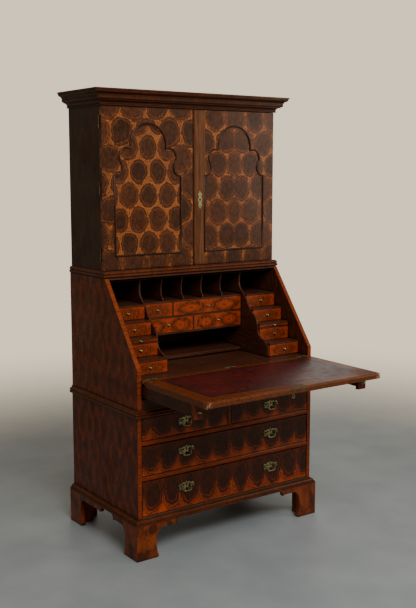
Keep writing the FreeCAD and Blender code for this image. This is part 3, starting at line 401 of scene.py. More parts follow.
def plain_wood(name, dark, mid, light, stretch=(90.0, 7.0, 90.0), rough=(0.36, 0.54), coat=0.08,
               band=0.0):
    """Straight-grained wood. With a band length, it is laid in short lengths, as in mouldings."""
    material, t, skin = new_finish(name)
    plane = t.group(face_plane)["Plane"]
    fibres = t.group(grain, Plane=plane, Stretch=stretch, Curl=0.5)
    colour = t.between(fibres["Streak"], dark, mid)
    colour = t.stain(colour, t.rise(fibres["Fibre"], 0.45, 0.75), light)
    colour = t.stain(colour, fibres["Pores"], dark, 0.5)
    if band:
        x, y, _ = t.parts(t.object_place())[:]
        length = t.sum("FLOOR", t.sum("DIVIDE", t.sum("ADD", x, y), band))
        chance = t.add("ShaderNodeTexWhiteNoise", noise_dimensions="1D")
        t.feed(chance.inputs["W"], length)
        colour = t.stain(colour, chance.outputs["Value"], dark, 0.4)
    old = t.group(age, Softness=1.5 * MM, Depth=20.0 * MM)
    polish(t, skin, colour, fibres["Fibre"], old, rough, coat, (140, 78, 38))
    return material


def patched_wood(name, dark, mid, light):
    """Foot veneer with broad dark patches like cut oysters."""
    material, t, skin = new_finish(name)
    plane = t.group(face_plane)["Plane"]
    fibres = t.group(grain, Plane=plane, Stretch=(30.0, 9.0, 30.0), Curl=0.8)
    patch = t.rise(t.noise(t.arrow("MULTIPLY", plane, (1.0, 0.7, 1.0)), 15.0, 3.0), 0.46, 0.60)
    colour = t.between(fibres["Streak"], mid, light)
    colour = t.stain(colour, patch, dark, 0.8)
    colour = t.stain(colour, fibres["Pores"], dark, 0.3)
    old = t.group(age, Softness=2.0 * MM, Depth=30.0 * MM)
    polish(t, skin, colour, fibres["Fibre"], old, worn=(170, 100, 54))
    return material


def raw_wood(name, dark, light, stretch=(70.0, 6.0, 70.0)):
    """Dry, unpolished inner wood of drawer boxes and backs."""
    material, t, skin = new_finish(name)
    plane = t.group(face_plane)["Plane"]
    fibres = t.group(grain, Plane=plane, Stretch=stretch, Curl=0.3)
    old = t.group(age, Softness=1.0 * MM, Depth=40.0 * MM)
    colour = t.between(fibres["Streak"], dark, light)
    colour = t.stain(colour, fibres["Pores"], RAW_PORES, 0.7)
    # painted shade and dust: darker in the boxes' corners and recesses by the occlusion mask
    colour = t.stain(colour, old["ShadeAndGrime"], RAW_SHADE_AND_DUST, 0.8)
    t.feed(skin.inputs["Base Color"], colour)
    t.feed(skin.inputs["Roughness"], t.rise(fibres["Fibre"], 0.3, 0.7, 0.58, 0.78))
    t.feed(skin.inputs["Normal"], bump(t, fibres["Fibre"], 0.4, old["Normal"]))
    return material


def brass_finish(name, bright, dull, rough=(0.28, 0.55)):
    """Lacquer-worn brass: bright on rubbed edges, brown and green in the hollows."""
    material, t, skin = new_finish(name)
    old = t.group(age, Softness=0.7 * MM, Depth=6.0 * MM)
    cloud = t.noise(t.object_place(), 160.0, 4.0)
    colour = t.between(t.rise(cloud, 0.35, 0.65), dull, bright)
    colour = t.stain(colour, old["ShadeAndGrime"], BRASS_DIRT, 0.85)
    colour = t.stain(colour, old["Wear"], BRASS_RUBBED, 0.8)
    t.feed(skin.inputs["Base Color"], colour)
    t.feed(skin.inputs["Roughness"], t.rise(cloud, 0.3, 0.7, *rough))
    t.feed(skin.inputs["Normal"], bump(t, cloud, 0.12, old["Normal"]))
    set_skin(skin, Metallic=1.0)
    return material


def from_edges(t, place, node):
    """How far in from the nearer end and the nearer long edge of a lying board."""
    low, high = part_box(node)
    middle, half = (low + high) / 2, (high - low) / 2
    x, y, _ = t.parts(place)[:]
    return [t.sum("SUBTRACT", reach, t.sum("ABSOLUTE", t.sum("SUBTRACT", here, centre)))
            for here, centre, reach in ((x, middle.x, half.x), (y, middle.y, half.y))]


def ruled_line(t, rim, inset, half_width, soft_width):
    """A thin line that runs round a board at one distance from its edge."""
    off = t.sum("ABSOLUTE", t.sum("SUBTRACT", rim, inset))
    return t.rise(off, half_width, soft_width, 1.0, 0.0)


def leather_finish(name, node):
    """Burgundy skiver with a fine pebble, a darker worn rim and a tooled line near it."""
    material, t, skin = new_finish(name)
    place = t.object_place()
    rim = t.sum("MINIMUM", *from_edges(t, place, node))
    pebble = t.add("ShaderNodeTexVoronoi", feature="SMOOTH_F1")
    t.feed(pebble.inputs["Vector"], place)
    pebble.inputs["Scale"].default_value = 900.0
    tooled = ruled_line(t, rim, 16.0 * MM, 0.6 * MM, 1.6 * MM)
    colour = t.between(t.rise(t.noise(place, 7.0, 4.0), 0.3, 0.7), *LEATHER)
    colour = t.stain(colour, t.rise(rim, 0.0, 50.0 * MM, 0.8, 0.0), LEATHER_RIM)
    colour = t.stain(colour, tooled, LEATHER_TOOLING, 0.7)
    t.feed(skin.inputs["Base Color"], colour)
    scuff = t.noise(place, 31.0, 5.0)
    t.feed(skin.inputs["Roughness"], t.rise(scuff, 0.3, 0.7, 0.36, 0.52))
    height = t.sum("SUBTRACT", pebble.outputs["Distance"], t.sum("MULTIPLY", tooled, 1.5))
    t.feed(skin.inputs["Normal"], bump(t, height, 0.25, None, 0.4 * MM))
    set_skin(skin, Specular_IOR_Level=0.55, Coat_Weight=0.15, Coat_Roughness=0.3)
    return material


FLAP_BAND_W = 34.0 * MM
flap_oysters = dict(Width=0.105, Pitch=0.105, Tall=1.12, Heart=0.95, Rings=6.0, Wander=0.035,
                    Blur=0.08, Seed=21.0)


def fall_front_finish(name, node):
    """The fall front: crossbanded round its leather, with oyster slices on its outer face."""
    material, t, skin = new_finish(name)
    low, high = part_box(node)
    place = t.object_place()
    in_x, in_y = from_edges(t, place, node)
    rim = t.sum("MINIMUM", in_x, in_y)
    along_x = t.group(grain, Plane=place, Stretch=(12.0, 150.0, 90.0), Curl=0.5)
    along_y = t.group(grain, Plane=place, Stretch=(150.0, 12.0, 90.0), Curl=0.5)
    end = t.sum("LESS_THAN", in_x, in_y)
    streak = t.pick(end, along_y["Streak"], along_x["Streak"])
    fibre = t.pick(end, along_y["Fibre"], along_x["Fibre"])
    dark, mid, light = FLAP_BAND
    colour = t.stain(t.between(streak, dark, mid), t.rise(fibre, 0.45, 0.75), light)
    cut = t.group(oysters, Plane=place, Centre=(low.x + high.x) / 2, Row=low.y + 50.0 * MM,
                  **flap_oysters)
    laid = t.group(grain, Plane=place, Stretch=VENEER_GRAIN, Curl=1.4)
    outer = t.sum("MULTIPLY", t.rise(t.facing()[2], -0.6, -0.3, 1.0, 0.0),
                  t.rise(rim, FLAP_BAND_W, FLAP_BAND_W + 2.0 * MM))
    colour = t.mix(outer, colour, oyster_colour(t, cut, laid, *DOOR_COLOURS))
    line = ruled_line(t, rim, FLAP_BAND_W, 0.8 * MM, 2.0 * MM)
    colour = t.stain(colour, line, INLAID_LINE, 0.75)
    corner = t.rise(t.arrow("LENGTH", t.join(in_x, in_y)), 6.0 * MM, 30.0 * MM, 1.0, 0.0)
    chipped = t.sum("MULTIPLY", corner, t.rise(t.noise(place, 90.0, 4.0), 0.45, 0.6))
    colour = t.stain(colour, chipped, BARE_CORNER, 0.7)
    old = t.group(age, Softness=1.8 * MM, Depth=20.0 * MM)
    polish(t, skin, colour, fibre, old, (0.32, 0.48), 0.12, (168, 104, 58))
    return material


def arch_centre(side):
    low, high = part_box("door_" + side + "_panel")
    return (low + high) / 2


left_arch, right_arch = arch_centre("left"), arch_centre("right")
panel_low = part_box("door_left_panel")[0].z
OYSTER_W = 0.103
OYSTER_ROW = 0.110
first_row = panel_low + 0.062

door_field_left = oyster_finish(
    "oyster door field left",
    dict(Centre=left_arch.x, Row=first_row, Width=OYSTER_W, Pitch=OYSTER_ROW, Tall=1.12,
         Heart=0.93, Rings=7.0, Wander=0.024, Blur=0.06, Seed=3.0), DOOR_COLOURS)
door_field_right = oyster_finish(
    "oyster door field right",
    dict(Centre=OYSTER_W * 0.42, Row=first_row + 0.02, Width=OYSTER_W * 1.08,
         Pitch=OYSTER_ROW * 1.05, Tall=1.12, Heart=0.99, Rings=6.0, Wander=0.035,
         Blur=0.08, Seed=11.0),
    DOOR_COLOURS, mirror_at=right_arch.x)
door_border_left = oyster_finish(
    "oyster door border left",
    dict(Centre=left_arch.x + 0.05, Row=panel_low - 0.02, Width=0.128, Pitch=0.118, Tall=1.2,
         Heart=0.98, Rings=6.0, Wander=0.04, Blur=0.08, Seed=5.0), DOOR_COLOURS)


def plain_meeting_stile(t, plane, cut, fibres, colour):
    """The right door's meeting stile is straight-grained walnut, not oysters."""
    x, _, _ = t.parts(plane)[:]
    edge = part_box("door_right_panel")[0].x + 12.0 * MM
    straight = t.group(grain, Plane=plane, Stretch=(120.0, 9.0, 120.0), Curl=0.8)
    stile = t.between(straight["Streak"], *MEETING_STILE)
    return t.mix(t.rise(x, edge, edge + 4.0 * MM, 1.0, 0.0), colour, stile)


door_border_right = oyster_finish(
    "oyster door border right",
    dict(Centre=right_arch.x + 0.12, Row=panel_low - 0.03, Width=0.118, Pitch=0.112, Tall=1.15,
         Heart=0.98, Rings=6.0, Wander=0.04, Blur=0.08, Seed=8.0),
    DOOR_COLOURS, extra=plain_meeting_stile)

crossband = plain_wood("crossbanded walnut edge", (80, 27, 7), (128, 47, 12), (160, 70, 22),
                       stretch=(14.0, 160.0, 160.0))
moulding_wood = plain_wood("cross-grained moulding", (46, 17, 7), (88, 37, 14), (126, 60, 24),
                           stretch=(160.0, 22.0, 22.0), band=45.0 * MM)
# the mouldings' cross-grained wood made darker here, partly painted shade for the cornice's deep
# hollows
cornice_wood_darkened_for_shade = plain_wood("dark cross-grained cornice", (34, 12, 6), (68, 28, 12), (108, 50, 21),
                          stretch=(160.0, 22.0, 22.0), band=45.0 * MM)
inner_walnut = plain_wood("inner walnut", (42, 21, 15), (70, 36, 24), (94, 54, 38),
                          stretch=(8.0, 120.0, 120.0))
frieze_finish = plain_wood("frieze walnut", (34, 13, 7), (58, 23, 12), (78, 34, 17),
                           stretch=(8.0, 120.0, 120.0))
loper_face_finish = plain_wood("loper face walnut", (60, 22, 9), (96, 38, 15), (130, 56, 22),
                               stretch=(40.0, 12.0, 60.0))
bead_wood = plain_wood("dark polished bead", (26, 11, 5), (44, 19, 9), (72, 33, 14),
                       rough=(0.3, 0.42), coat=0.12)
foot_finish = patched_wood("bracket foot walnut", (40, 15, 7), (96, 38, 13), (126, 56, 21))
box_wood = raw_wood("dry drawer lining", (122, 84, 50), (158, 114, 72))
back_wood = raw_wood("old back boards", (70, 46, 28), (98, 66, 42), stretch=(60.0, 5.0, 60.0))
brass = brass_finish("worn brass", (176, 166, 118), (112, 106, 74))
dark_brass = brass_finish("dull lock brass", (112, 98, 74), (66, 56, 42), rough=(0.4, 0.65))
leather = leather_finish("burgundy leather", "flap_leather")
flap_wood = fall_front_finish("flap crossbanding", "flap_board")


def drawer_front_finish(name, low, high, seed):
    """One row of tall dark ovals with orange lancets rising between them."""
    tall = high - low
    shapes = dict(Centre=0.02 + 0.017 * seed, Row=low + 0.58 * tall, Width=0.098,
                  Pitch=1.6 * tall, Tall=0.62, Heart=0.92, Rings=7.0, Wander=0.05, Vary=0.16,
                  Ragged=0.16, Seed=seed)

    def shaded_top(t, plane, cut, fibres, colour):
        """The slices run together near the top edge and leave only faint lighter lines."""
        _, z, _ = t.parts(plane)[:]
        dark, light, sap, _ = DRAWER_COLOURS
        deep = t.stain(t.between(fibres["Streak"], dark, light), cut["Line"], sap, 0.2)
        return t.mix(t.rise(z, low + tall * 0.40, low + tall * 0.66, 0.0, 0.8), colour, deep)

    return oyster_finish(name, shapes, DRAWER_COLOURS, extra=shaded_top)


def small_front_finish(name, knots):
    """Bright burr with a dark oval knot, or two, rings spreading across the front."""
    material, t, skin = new_finish(name)
    coord = t.add("ShaderNodeTexCoord")
    u, _, v = t.parts(coord.outputs["Generated"])[:]
    place = coord.outputs["Object"]
    spread = t.sum("FRACT", t.sum("MULTIPLY", u, float(knots)))
    lx = t.sum("MULTIPLY", t.sum("SUBTRACT", spread, 0.5), 2.0)
    ly = t.sum("MULTIPLY", t.sum("SUBTRACT", v, 0.45), 1.7)
    from_knot = t.arrow("LENGTH", t.join(lx, ly))
    drift = t.sum("SUBTRACT", t.noise(place, 42.0, 3.0), 0.5)
    reach = t.sum("ADD", from_knot, t.sum("MULTIPLY", drift, 0.55))
    rings = t.sum("MULTIPLY_ADD", t.sum("SINE", t.sum("MULTIPLY", reach, 21.0)), 0.5, 0.5)
    dark, mid, sap, pale = SMALL_COLOURS
    heart, belt = (sap, dark) if knots == 2 else (mid, mid)
    colour = t.between(t.rise(reach, 0.35, 0.62), heart, belt)
    colour = t.stain(colour, t.rise(reach, 0.72, 1.0), sap)
    colour = t.stain(colour, rings, dark, 0.4)
    fibres = t.group(grain, Plane=place, Stretch=(150.0, 150.0, 60.0), Curl=2.0)
    colour = t.stain(colour, fibres["Streak"], pale, 0.35)
    colour = t.stain(colour, t.rise(from_knot, 0.03, 0.10, 0.9, 0.0), KNOT_EYE)
    old = t.group(age, Softness=0.8 * MM, Depth=8.0 * MM)
    polish(t, skin, colour, fibres["Fibre"], old, (0.3, 0.45), 0.15, (190, 96, 36))
    return material


small_front = small_front_finish("burr drawer front", 1)
small_front_pair = small_front_finish("burr drawer front with two knots", 2)

side_oysters = dict(Centre=0.03, Row=0.05, Width=0.070, Pitch=0.118, Tall=1.3, Heart=0.85,
                    Rings=4.0, Wander=0.07, Blur=0.45, Seed=2.0)


def side_board_finish(name, edge_colours, face_colours):
    """Boards whose broad sides are veneered and whose front edges are cross-banded."""
    material, t, skin = new_finish(name)
    turn = t.group(face_plane)
    plane, side = turn["Plane"], turn["Side"]
    fibres = t.group(grain, Plane=plane, Stretch=(60.0, 16.0, 60.0), Curl=1.6)
    cut = t.group(oysters, Plane=plane, **side_oysters)
    dark, light, sap, _ = face_colours
    streaks = t.between(fibres["Streak"], dark, sap)
    streaks = t.stain(streaks, t.rise(fibres["Fibre"], 0.4, 0.8), light)
    broad = t.mix(0.35, oyster_colour(t, cut, fibres, *face_colours), streaks)
    blotch = t.rise(t.noise(t.arrow("MULTIPLY", plane, (1.0, 0.55, 1.0)), 30.0, 3.0), 0.44, 0.60)
    broad = t.stain(broad, blotch, dark, 0.5)
    outward = t.sum("MULTIPLY", t.facing()[0], t.parts(t.object_place())[0])
    inside = t.between(fibres["Streak"], *INSIDE)
    broad = t.mix(t.sum("LESS_THAN", outward, 0.0), broad, inside)
    across = t.group(grain, Plane=plane, Stretch=(14.0, 170.0, 170.0), Curl=0.4)
    dark, mid, light = edge_colours
    band = t.between(across["Streak"], dark, mid)
    band = t.stain(band, t.rise(across["Fibre"], 0.45, 0.75), light)
    colour = t.mix(side, band, broad)
    old = t.group(age, Softness=1.8 * MM, Depth=20.0 * MM)
    relief = t.sum("ADD", fibres["Fibre"], t.sum("MULTIPLY", cut["Rings"], 0.2))
    polish(t, skin, colour, relief, old, (0.36, 0.54), 0.08, (150, 80, 38))
    return material


chest_side_finish = side_board_finish("chest side", EDGE_BAND, SIDE_COLOURS)
cabinet_side_finish = side_board_finish("cabinet side", DARK_BAND, CABINET_SIDE_COLOURS)


# ---- meshes ----
def add_piece(name, mesh, finish, body, smooth=True):
    piece = bpy.data.objects.new(name, mesh)
    bpy.context.scene.collection.objects.link(piece)
    mesh.materials.clear()
    mesh.materials.append(finish)
    if smooth:
        mesh.shade_smooth()
    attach(piece, body)
    return piece


def plank(name, low, high, finish, body, soft=0.8 * MM):
    """A board with softened arrises."""
    made = bmesh.new()
    bmesh.ops.create_cube(made, size=1.0)
    size = Vector(high) - Vector(low)
    middle = (Vector(high) + Vector(low)) / 2
    bmesh.ops.scale(made, vec=size, verts=made.verts)
    bmesh.ops.translate(made, vec=middle, verts=made.verts)
    bmesh.ops.bevel(made, geom=made.edges[:], offset=soft, segments=2, profile=0.6,
                    affect="EDGES")
    mesh = bpy.data.meshes.new(name)
    made.to_mesh(mesh)
    made.free()
    return add_piece(name, mesh, finish, body, smooth=False)


OUTWARD = Vector((0, -1, 0))


def turn_round(made, profile, place, sides=24):
    """Adds a turned shape to a bmesh. The profile gives (radius, distance out)."""
    axis = OUTWARD
    first = axis.orthogonal().normalized()
    second = axis.cross(first)
    rows = []
    for r, d in profile:
        ring = []
        for i in range(sides):
            a = math.tau * i / sides
            ring.append(made.verts.new(Vector(place) + axis * d
                                       + (first * math.cos(a) + second * math.sin(a)) * r))
        rows.append(ring)
    for low, high in zip(rows, rows[1:]):
        for i in range(sides):
            j = (i + 1) % sides
            made.faces.new((low[i], low[j], high[j], high[i]))
    made.faces.new(list(reversed(rows[0])))
    made.faces.new(rows[-1])


def arc_points(cx, cz, r, start, end, count):
    """Points along an arc, angles in degrees."""
    return [(cx + r * math.cos(math.radians(start + (end - start) * i / count)),
             cz + r * math.sin(math.radians(start + (end - start) * i / count)))
            for i in range(count + 1)]


def knob_outline(k=1.0):
    """Rosette, neck and ball of a turned brass knob."""
    foot = [(5.2, 0.0), (5.4, 0.5), (4.9, 1.1), (3.4, 1.5), (2.3, 2.2), (2.1, 3.4), (2.7, 4.4)]
    ball = arc_points(0.0, 7.0, 5.2, -38.0, 88.0, 9)
    return [(r * k * MM, d * k * MM) for r, d in foot + ball]


def finish_mesh(made, name):
    bmesh.ops.recalc_face_normals(made, faces=made.faces[:])
    mesh = bpy.data.meshes.new(name)
    made.to_mesh(mesh)
    made.free()
    return mesh


def knob(name, place, k, body):
    made = bmesh.new()
    turn_round(made, knob_outline(k), place)
    return add_piece(name, finish_mesh(made, name), brass, body)


def sweep(made, points, radii, up, sides=12):
    """Adds a round bar along points to a bmesh, with a radius at each point."""
    rows = []
    for i, point in enumerate(points):
        before = points[max(i - 1, 0)]
        after = points[min(i + 1, len(points) - 1)]
        along = (after - before).normalized()
        side = along.cross(up).normalized()
        lift = side.cross(along)
        rows.append([made.verts.new(point + (side * math.cos(math.tau * k / sides)
                                             + lift * math.sin(math.tau * k / sides)) * radii[i])
                     for k in range(sides)])
    for low, high in zip(rows, rows[1:]):
        for k in range(sides):
            j = (k + 1) % sides
            made.faces.new((low[k], low[j], high[j], high[k]))
    made.faces.new(rows[0])
    made.faces.new(list(reversed(rows[-1])))


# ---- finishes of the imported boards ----
def dress(finish, *nodes):
    for node in nodes:
        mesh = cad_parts[node].data
        mesh.materials.clear()
        mesh.materials.append(finish)


dress(chest_side_finish, "chest_sides", "desk_sides")
dress(cabinet_side_finish, "cabinet_sides")
dress(door_field_left, "door_left_panel")
dress(door_field_right, "door_right_panel")
dress(door_border_left, "door_left_frame")
dress(door_border_right, "door_right_frame")
dress(moulding_wood, "base_moulding", "waist_moulding", "cabinet_moulding")
dress(cornice_wood_darkened_for_shade, "cornice")
dress(foot_finish, "bracket_feet")
dress(crossband, "drawer_rails")
dress(frieze_finish, "desk_frieze", "cabinet_boards")
dress(inner_walnut, "writing_bed", "bank_partitions", "bank_shelves", "centre_shelves",
      "pigeonhole_dividers", "desk_boards")
dress(back_wood, "back_boards", "dust_boards", "chest_boards")
dress(flap_wood, "flap_board")
dress(leather, "flap_leather")
dress(dark_brass, "fixed_hinge_leaves", "flap_hinge_leaves", "flap_lock", "door_left_hinges")
dress(brass, "flap_key", "door_right_hinges")


# ---- drawers ----
HANDLE_OUT = 17.0 * MM
FRONT_T = 20.0 * MM
SIDE_T = 12.0 * MM
BOTTOM_T = 8.0 * MM
BOTTOM_RISE = 6.0 * MM
FRONT_LIFT = 3.1 * MM
BOX_BELOW_TOP = 4.5 * MM


def drawer_box(name, body, low, high, side_t, bottom_t, bottom_rise):
    """Two sides, a back and a bottom behind a drawer's front."""
    lx, ly, lz = low
    hx, hy, hz = high
    plank(name + "_side_left", (lx, ly, lz), (lx + side_t, hy, hz), box_wood, body)
    plank(name + "_side_right", (hx - side_t, ly, lz), (hx, hy, hz), box_wood, body)
    plank(name + "_back", (lx + side_t, hy - side_t, lz), (hx - side_t, hy, hz), box_wood, body)
    plank(name + "_bottom", (lx + side_t, ly, lz + bottom_rise),
          (hx - side_t, hy - side_t, lz + bottom_rise + bottom_t), box_wood, body,
          0.4 * MM)


def chest_drawer(name, seed):
    """A chest drawer's veneered front and its oak box. Returns where the front's face lies."""
    low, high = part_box(name)
    front_y = low.y + HANDLE_OUT
    back_of_front = front_y + FRONT_T
    sill = low.z + FRONT_LIFT
    finish = drawer_front_finish(name.replace("_", " ") + " veneer", sill, high.z, seed)
    front = plank(name + "_front", (low.x, front_y, sill), (high.x, back_of_front, high.z),
                  finish, name, 1.0 * MM)
    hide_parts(name)
    drawer_box(name, name, (low.x, back_of_front, low.z),
               (high.x, high.y, high.z - BOX_BELOW_TOP), SIDE_T, BOTTOM_T, BOTTOM_RISE)
    return front_y


# half of the plate's outline and its holes, as shares of half its width and half its height
WING = [(0, 1.0), (0.13, 0.74), (0.38, 0.8), (0.62, 0.62), (0.86, 0.66), (1.0, 0.3),
        (0.86, 0.02), (0.9, -0.3), (0.66, -0.5), (0.4, -0.44), (0.2, -0.74), (0, -1.0)]
PIERCED = [((0.0, 0.42), 0.10, 0.16), ((0.0, -0.42), 0.09, 0.20), ((0.40, 0.30), 0.16, 0.10),
           ((0.42, -0.06), 0.13, 0.12), ((0.72, 0.30), 0.05, 0.12)]
PLATE_HALF = (42.0 * MM, 25.0 * MM)
PLATE_T = 1.6 * MM
PLATE_EDGE = 0.3 * MM
HOLE_POINTS = 8


def plate_mesh(name):
    """A pierced batwing plate, flat in x and z, its back at y = 0."""
    curve = bpy.data.curves.new(name, "CURVE")
    curve.dimensions = "2D"
    curve.fill_mode = "BOTH"
    curve.extrude = PLATE_T / 2 - PLATE_EDGE
    curve.bevel_depth = PLATE_EDGE
    curve.bevel_resolution = 2
    w, h = PLATE_HALF
    outline = WING + [(-a, b) for a, b in reversed(WING[1:-1])]
    loops = [[(a * w, b * h) for a, b in outline]]
    for (a, b), rx, rz in PIERCED:
        for side in ((1, -1) if a else (1,)):
            loops.append([(side * a * w + rx * w * math.cos(math.tau * i / HOLE_POINTS),
                           b * h + rz * w * math.sin(math.tau * i / HOLE_POINTS))
                          for i in range(HOLE_POINTS)])
    for loop in loops:
        spline = curve.splines.new("BEZIER")
        spline.bezier_points.add(len(loop) - 1)
        for point, (a, b) in zip(spline.bezier_points, loop):
            point.co = (a, b, 0.0)
            point.handle_left_type = point.handle_right_type = "AUTO"
        spline.use_cyclic_u = True
        spline.resolution_u = 6
    drawn = bpy.data.objects.new(name, curve)
    bpy.context.scene.collection.objects.link(drawn)
    bpy.context.view_layer.update()
    mesh = bpy.data.meshes.new_from_object(drawn)
    bpy.data.objects.remove(drawn)
    mesh.transform(Matrix.Rotation(math.pi / 2, 4, "X"))
    mesh.transform(Matrix.Translation((0, -PLATE_T / 2, 0)))
    return mesh


POST_X = 30.0 * MM
POST_RISE = 6.0 * MM
POST_OUT = 12.0 * MM
plate_shape = plate_mesh("batwing_plate")


def handle(label, drawer, x, y, z):
    """Back plate, posts and swinging bail of one chest drawer handle."""
    plate = plate_shape.copy()
    plate.transform(Matrix.Translation((x, y, z)))
    add_piece("plate_" + label, plate, brass, drawer, smooth=False)
    made = bmesh.new()
    stem = [(4.4, 0.0), (4.6, 0.6), (3.4, 1.2), (2.6, 2.2), (2.6, 6.4), (3.4, 6.9)]
    ball = arc_points(0.0, 10.4, 5.0, -45.0, 88.0, 9)
    outline = [(r * MM, d * MM) for r, d in stem + ball]
    for side in (-1, 1):
        turn_round(made, outline, (x + side * POST_X, y - PLATE_T, z + POST_RISE))
    add_piece("posts_" + label, finish_mesh(made, "posts"), brass, drawer)
    bail(label, x, y - POST_OUT, z + POST_RISE)


def bail(label, x, y, z):
    """A cast bail: thin at the pins, fuller at the bottom, with a small collar each side."""
    right = [(30.5, 0.0), (27.0, 0.0)] + arc_points(27.0, -6.0, 6.0, 90.0, 180.0, 5)[1:]
    right += [(21.4, -9.0), (22.0, -13.0)] + arc_points(13.0, -15.0, 9.0, 0.0, -90.0, 7)
    right += [(6.0, -24.6), (0.0, -25.0)]
    flat = right + [(-a, b) for a, b in reversed(right[:-1])]
    radii = []
    for a, b in flat:
        low = max(0.0, min(1.0, -b / 25.0))
        collar = 0.8 if abs(abs(a) - 6.0) < 0.1 else 0.0
        radii.append((1.75 + 0.7 * low + collar) * MM)
    points = [Vector((x + a * MM, y, z + b * MM)) for a, b in flat]
    made = bmesh.new()
    sweep(made, points, radii, OUTWARD)
    node = "bail_" + label
    piece = add_piece(node + "_swing", finish_mesh(made, node), brass, node)
    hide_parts(node)


PIN_BELOW_TOP = 2.0 * MM
HANDLES = {"short_left": ("",), "short_right": ("",),
           "upper_long": ("_left", "_right"), "lower_long": ("_left", "_right")}
for seed, (row, tails) in enumerate(HANDLES.items()):
    face_y = chest_drawer("drawer_" + row, float(seed))
    for tail in tails:
        low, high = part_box("bail_" + row + tail)
        pin_z = high.z - PIN_BELOW_TOP
        handle(row + tail, "drawer_" + row, (low.x + high.x) / 2, face_y, pin_z - POST_RISE)


SMALL_FRONT_T = 9.0 * MM
SMALL_SIDE_T = 6.0 * MM
SMALL_BOTTOM_T = 4.0 * MM
KNOB_OUT = 12.2 * MM
KNOB_H = 11.0 * MM
SLIM_H = 20.0 * MM
PAIR_W = 230.0 * MM
SMALL_FRONT_LIFT = 0.6 * MM
SMALL_BOX_BELOW_TOP = 2.0 * MM


def small_drawer(name):
    """A fitted drawer: burr front, thin oak box and a turned knob."""
    low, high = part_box(name)
    tall = high.z - low.z
    k = min(1.0, (tall - SMALL_FRONT_LIFT) / KNOB_H) if tall < SLIM_H else 1.0
    front_y = low.y + KNOB_OUT * k
    finish = small_front_pair if high.x - low.x > PAIR_W else small_front
    sill = low.z + SMALL_FRONT_LIFT
    front = plank(name + "_front", (low.x, front_y, sill),
                  (high.x, front_y + SMALL_FRONT_T, high.z), finish, name,
                  0.7 * MM)
    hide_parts(name)
    rim = min(SMALL_BOX_BELOW_TOP, tall / 7)
    bottom_t = min(SMALL_BOTTOM_T, tall / 4)
    drawer_box(name, name, (low.x, front_y + SMALL_FRONT_T, low.z),
               (high.x, high.y, high.z - rim), SMALL_SIDE_T, bottom_t, 0.0)
    knob(name + "_knob", ((low.x + high.x) / 2, front_y, (sill + high.z) / 2), k, name)


for node in sorted(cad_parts):
    if "_drawer_" in node:
        small_drawer(node)


# ---- lopers ----
LOPER_KNOB = 1.25
LOPER_FACE_T = 17.8 * MM
LOPER_BAR_W = 40.0 * MM
LOPER_BAR_H = 50.0 * MM


def loper(name):
    """A pull-out support: plain bar, faced end and brass knob."""
    low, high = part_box(name)
    face_y = low.y + KNOB_OUT * LOPER_KNOB
    middle = (low.x + high.x) / 2
    half = LOPER_BAR_W / 2
    face_back = face_y + LOPER_FACE_T
    face = plank(name + "_face", (low.x, face_y, low.z), (high.x, face_back, high.z),
                 loper_face_finish, name)
    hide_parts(name)
    plank(name + "_bar", (middle - half, face_back, high.z - LOPER_BAR_H),
          (middle + half, high.y, high.z), frieze_finish, name)
    knob(name + "_knob", (middle, face_y, (low.z + high.z) / 2), LOPER_KNOB, name)


loper("loper_left")
loper("loper_right")


# ---- door beads ----
BEAD_W = 9.0 * MM
BEAD_OUT = 4.0 * MM
BEAD_STEPS = 8
ARCH_ABOVE_PANEL_FOOT = 11.7 * MM
ARCH = dict(half=178.0, shoulder=359.0, cove=38.0, bulge=153.0, bulge_up=447.0, bulge_r=38.0,
            crown=96.0, crown_up=501.0)


def ogee(p, q, count):
    """Two equal arcs from p to q, both ends upright."""
    da, db = (q[0] - p[0]) / 2, (q[1] - p[1]) / 2
    r = (da * da + db * db) / (2 * abs(da))
    turn = math.degrees(math.asin(db / r))
    side = 1.0 if da > 0 else -1.0
    near = arc_points(p[0] + side * r, p[1], r, 180.0 if side > 0 else 0.0,
                      (180.0 - turn) if side > 0 else turn, count)
    far = arc_points(q[0] - side * r, q[1], r, (-turn) if side > 0 else (180.0 + turn),
                     0.0 if side > 0 else 180.0, count)
    return near[1:] + far[1:]


def arch_outline():
    """The arched field from its bottom centre, as a closed run of (x, z) in metres."""
    a = ARCH
    right = [(a["half"], 0.0), (a["half"], a["shoulder"])]
    cove_z = a["shoulder"] + a["cove"]
    right += arc_points(a["half"], cove_z, a["cove"], 270.0, 180.0, 10)[1:]
    right += ogee(right[-1], (a["bulge"], a["bulge_up"]), 6)
    right += arc_points(a["bulge"] - a["bulge_r"], a["bulge_up"], a["bulge_r"], 0.0, 90.0, 10)[1:]
    step = a["bulge_up"] + a["bulge_r"]
    right += [(a["crown"], step), (a["crown"], a["crown_up"])]
    right += arc_points(0.0, a["crown_up"], a["crown"], 0.0, 90.0, 18)[1:]
    left = [(-x, z) for x, z in reversed(right[:-1])]
    return [(x * MM, z * MM) for x, z in right + left]


def mitred(points):
    """For each point of a closed run, the mitred sideways direction."""
    ways = []
    for i, here in enumerate(points):
        before, after = points[i - 1], points[(i + 1) % len(points)]
        d0 = Vector((here[0] - before[0], here[1] - before[1])).normalized()
        d1 = Vector((after[0] - here[0], after[1] - here[1])).normalized()
        n0, n1 = Vector((d0.y, -d0.x)), Vector((d1.y, -d1.x))
        middle = (n0 + n1).normalized()
        ways.append(middle / max(0.35, middle.dot(n0)))
    return ways


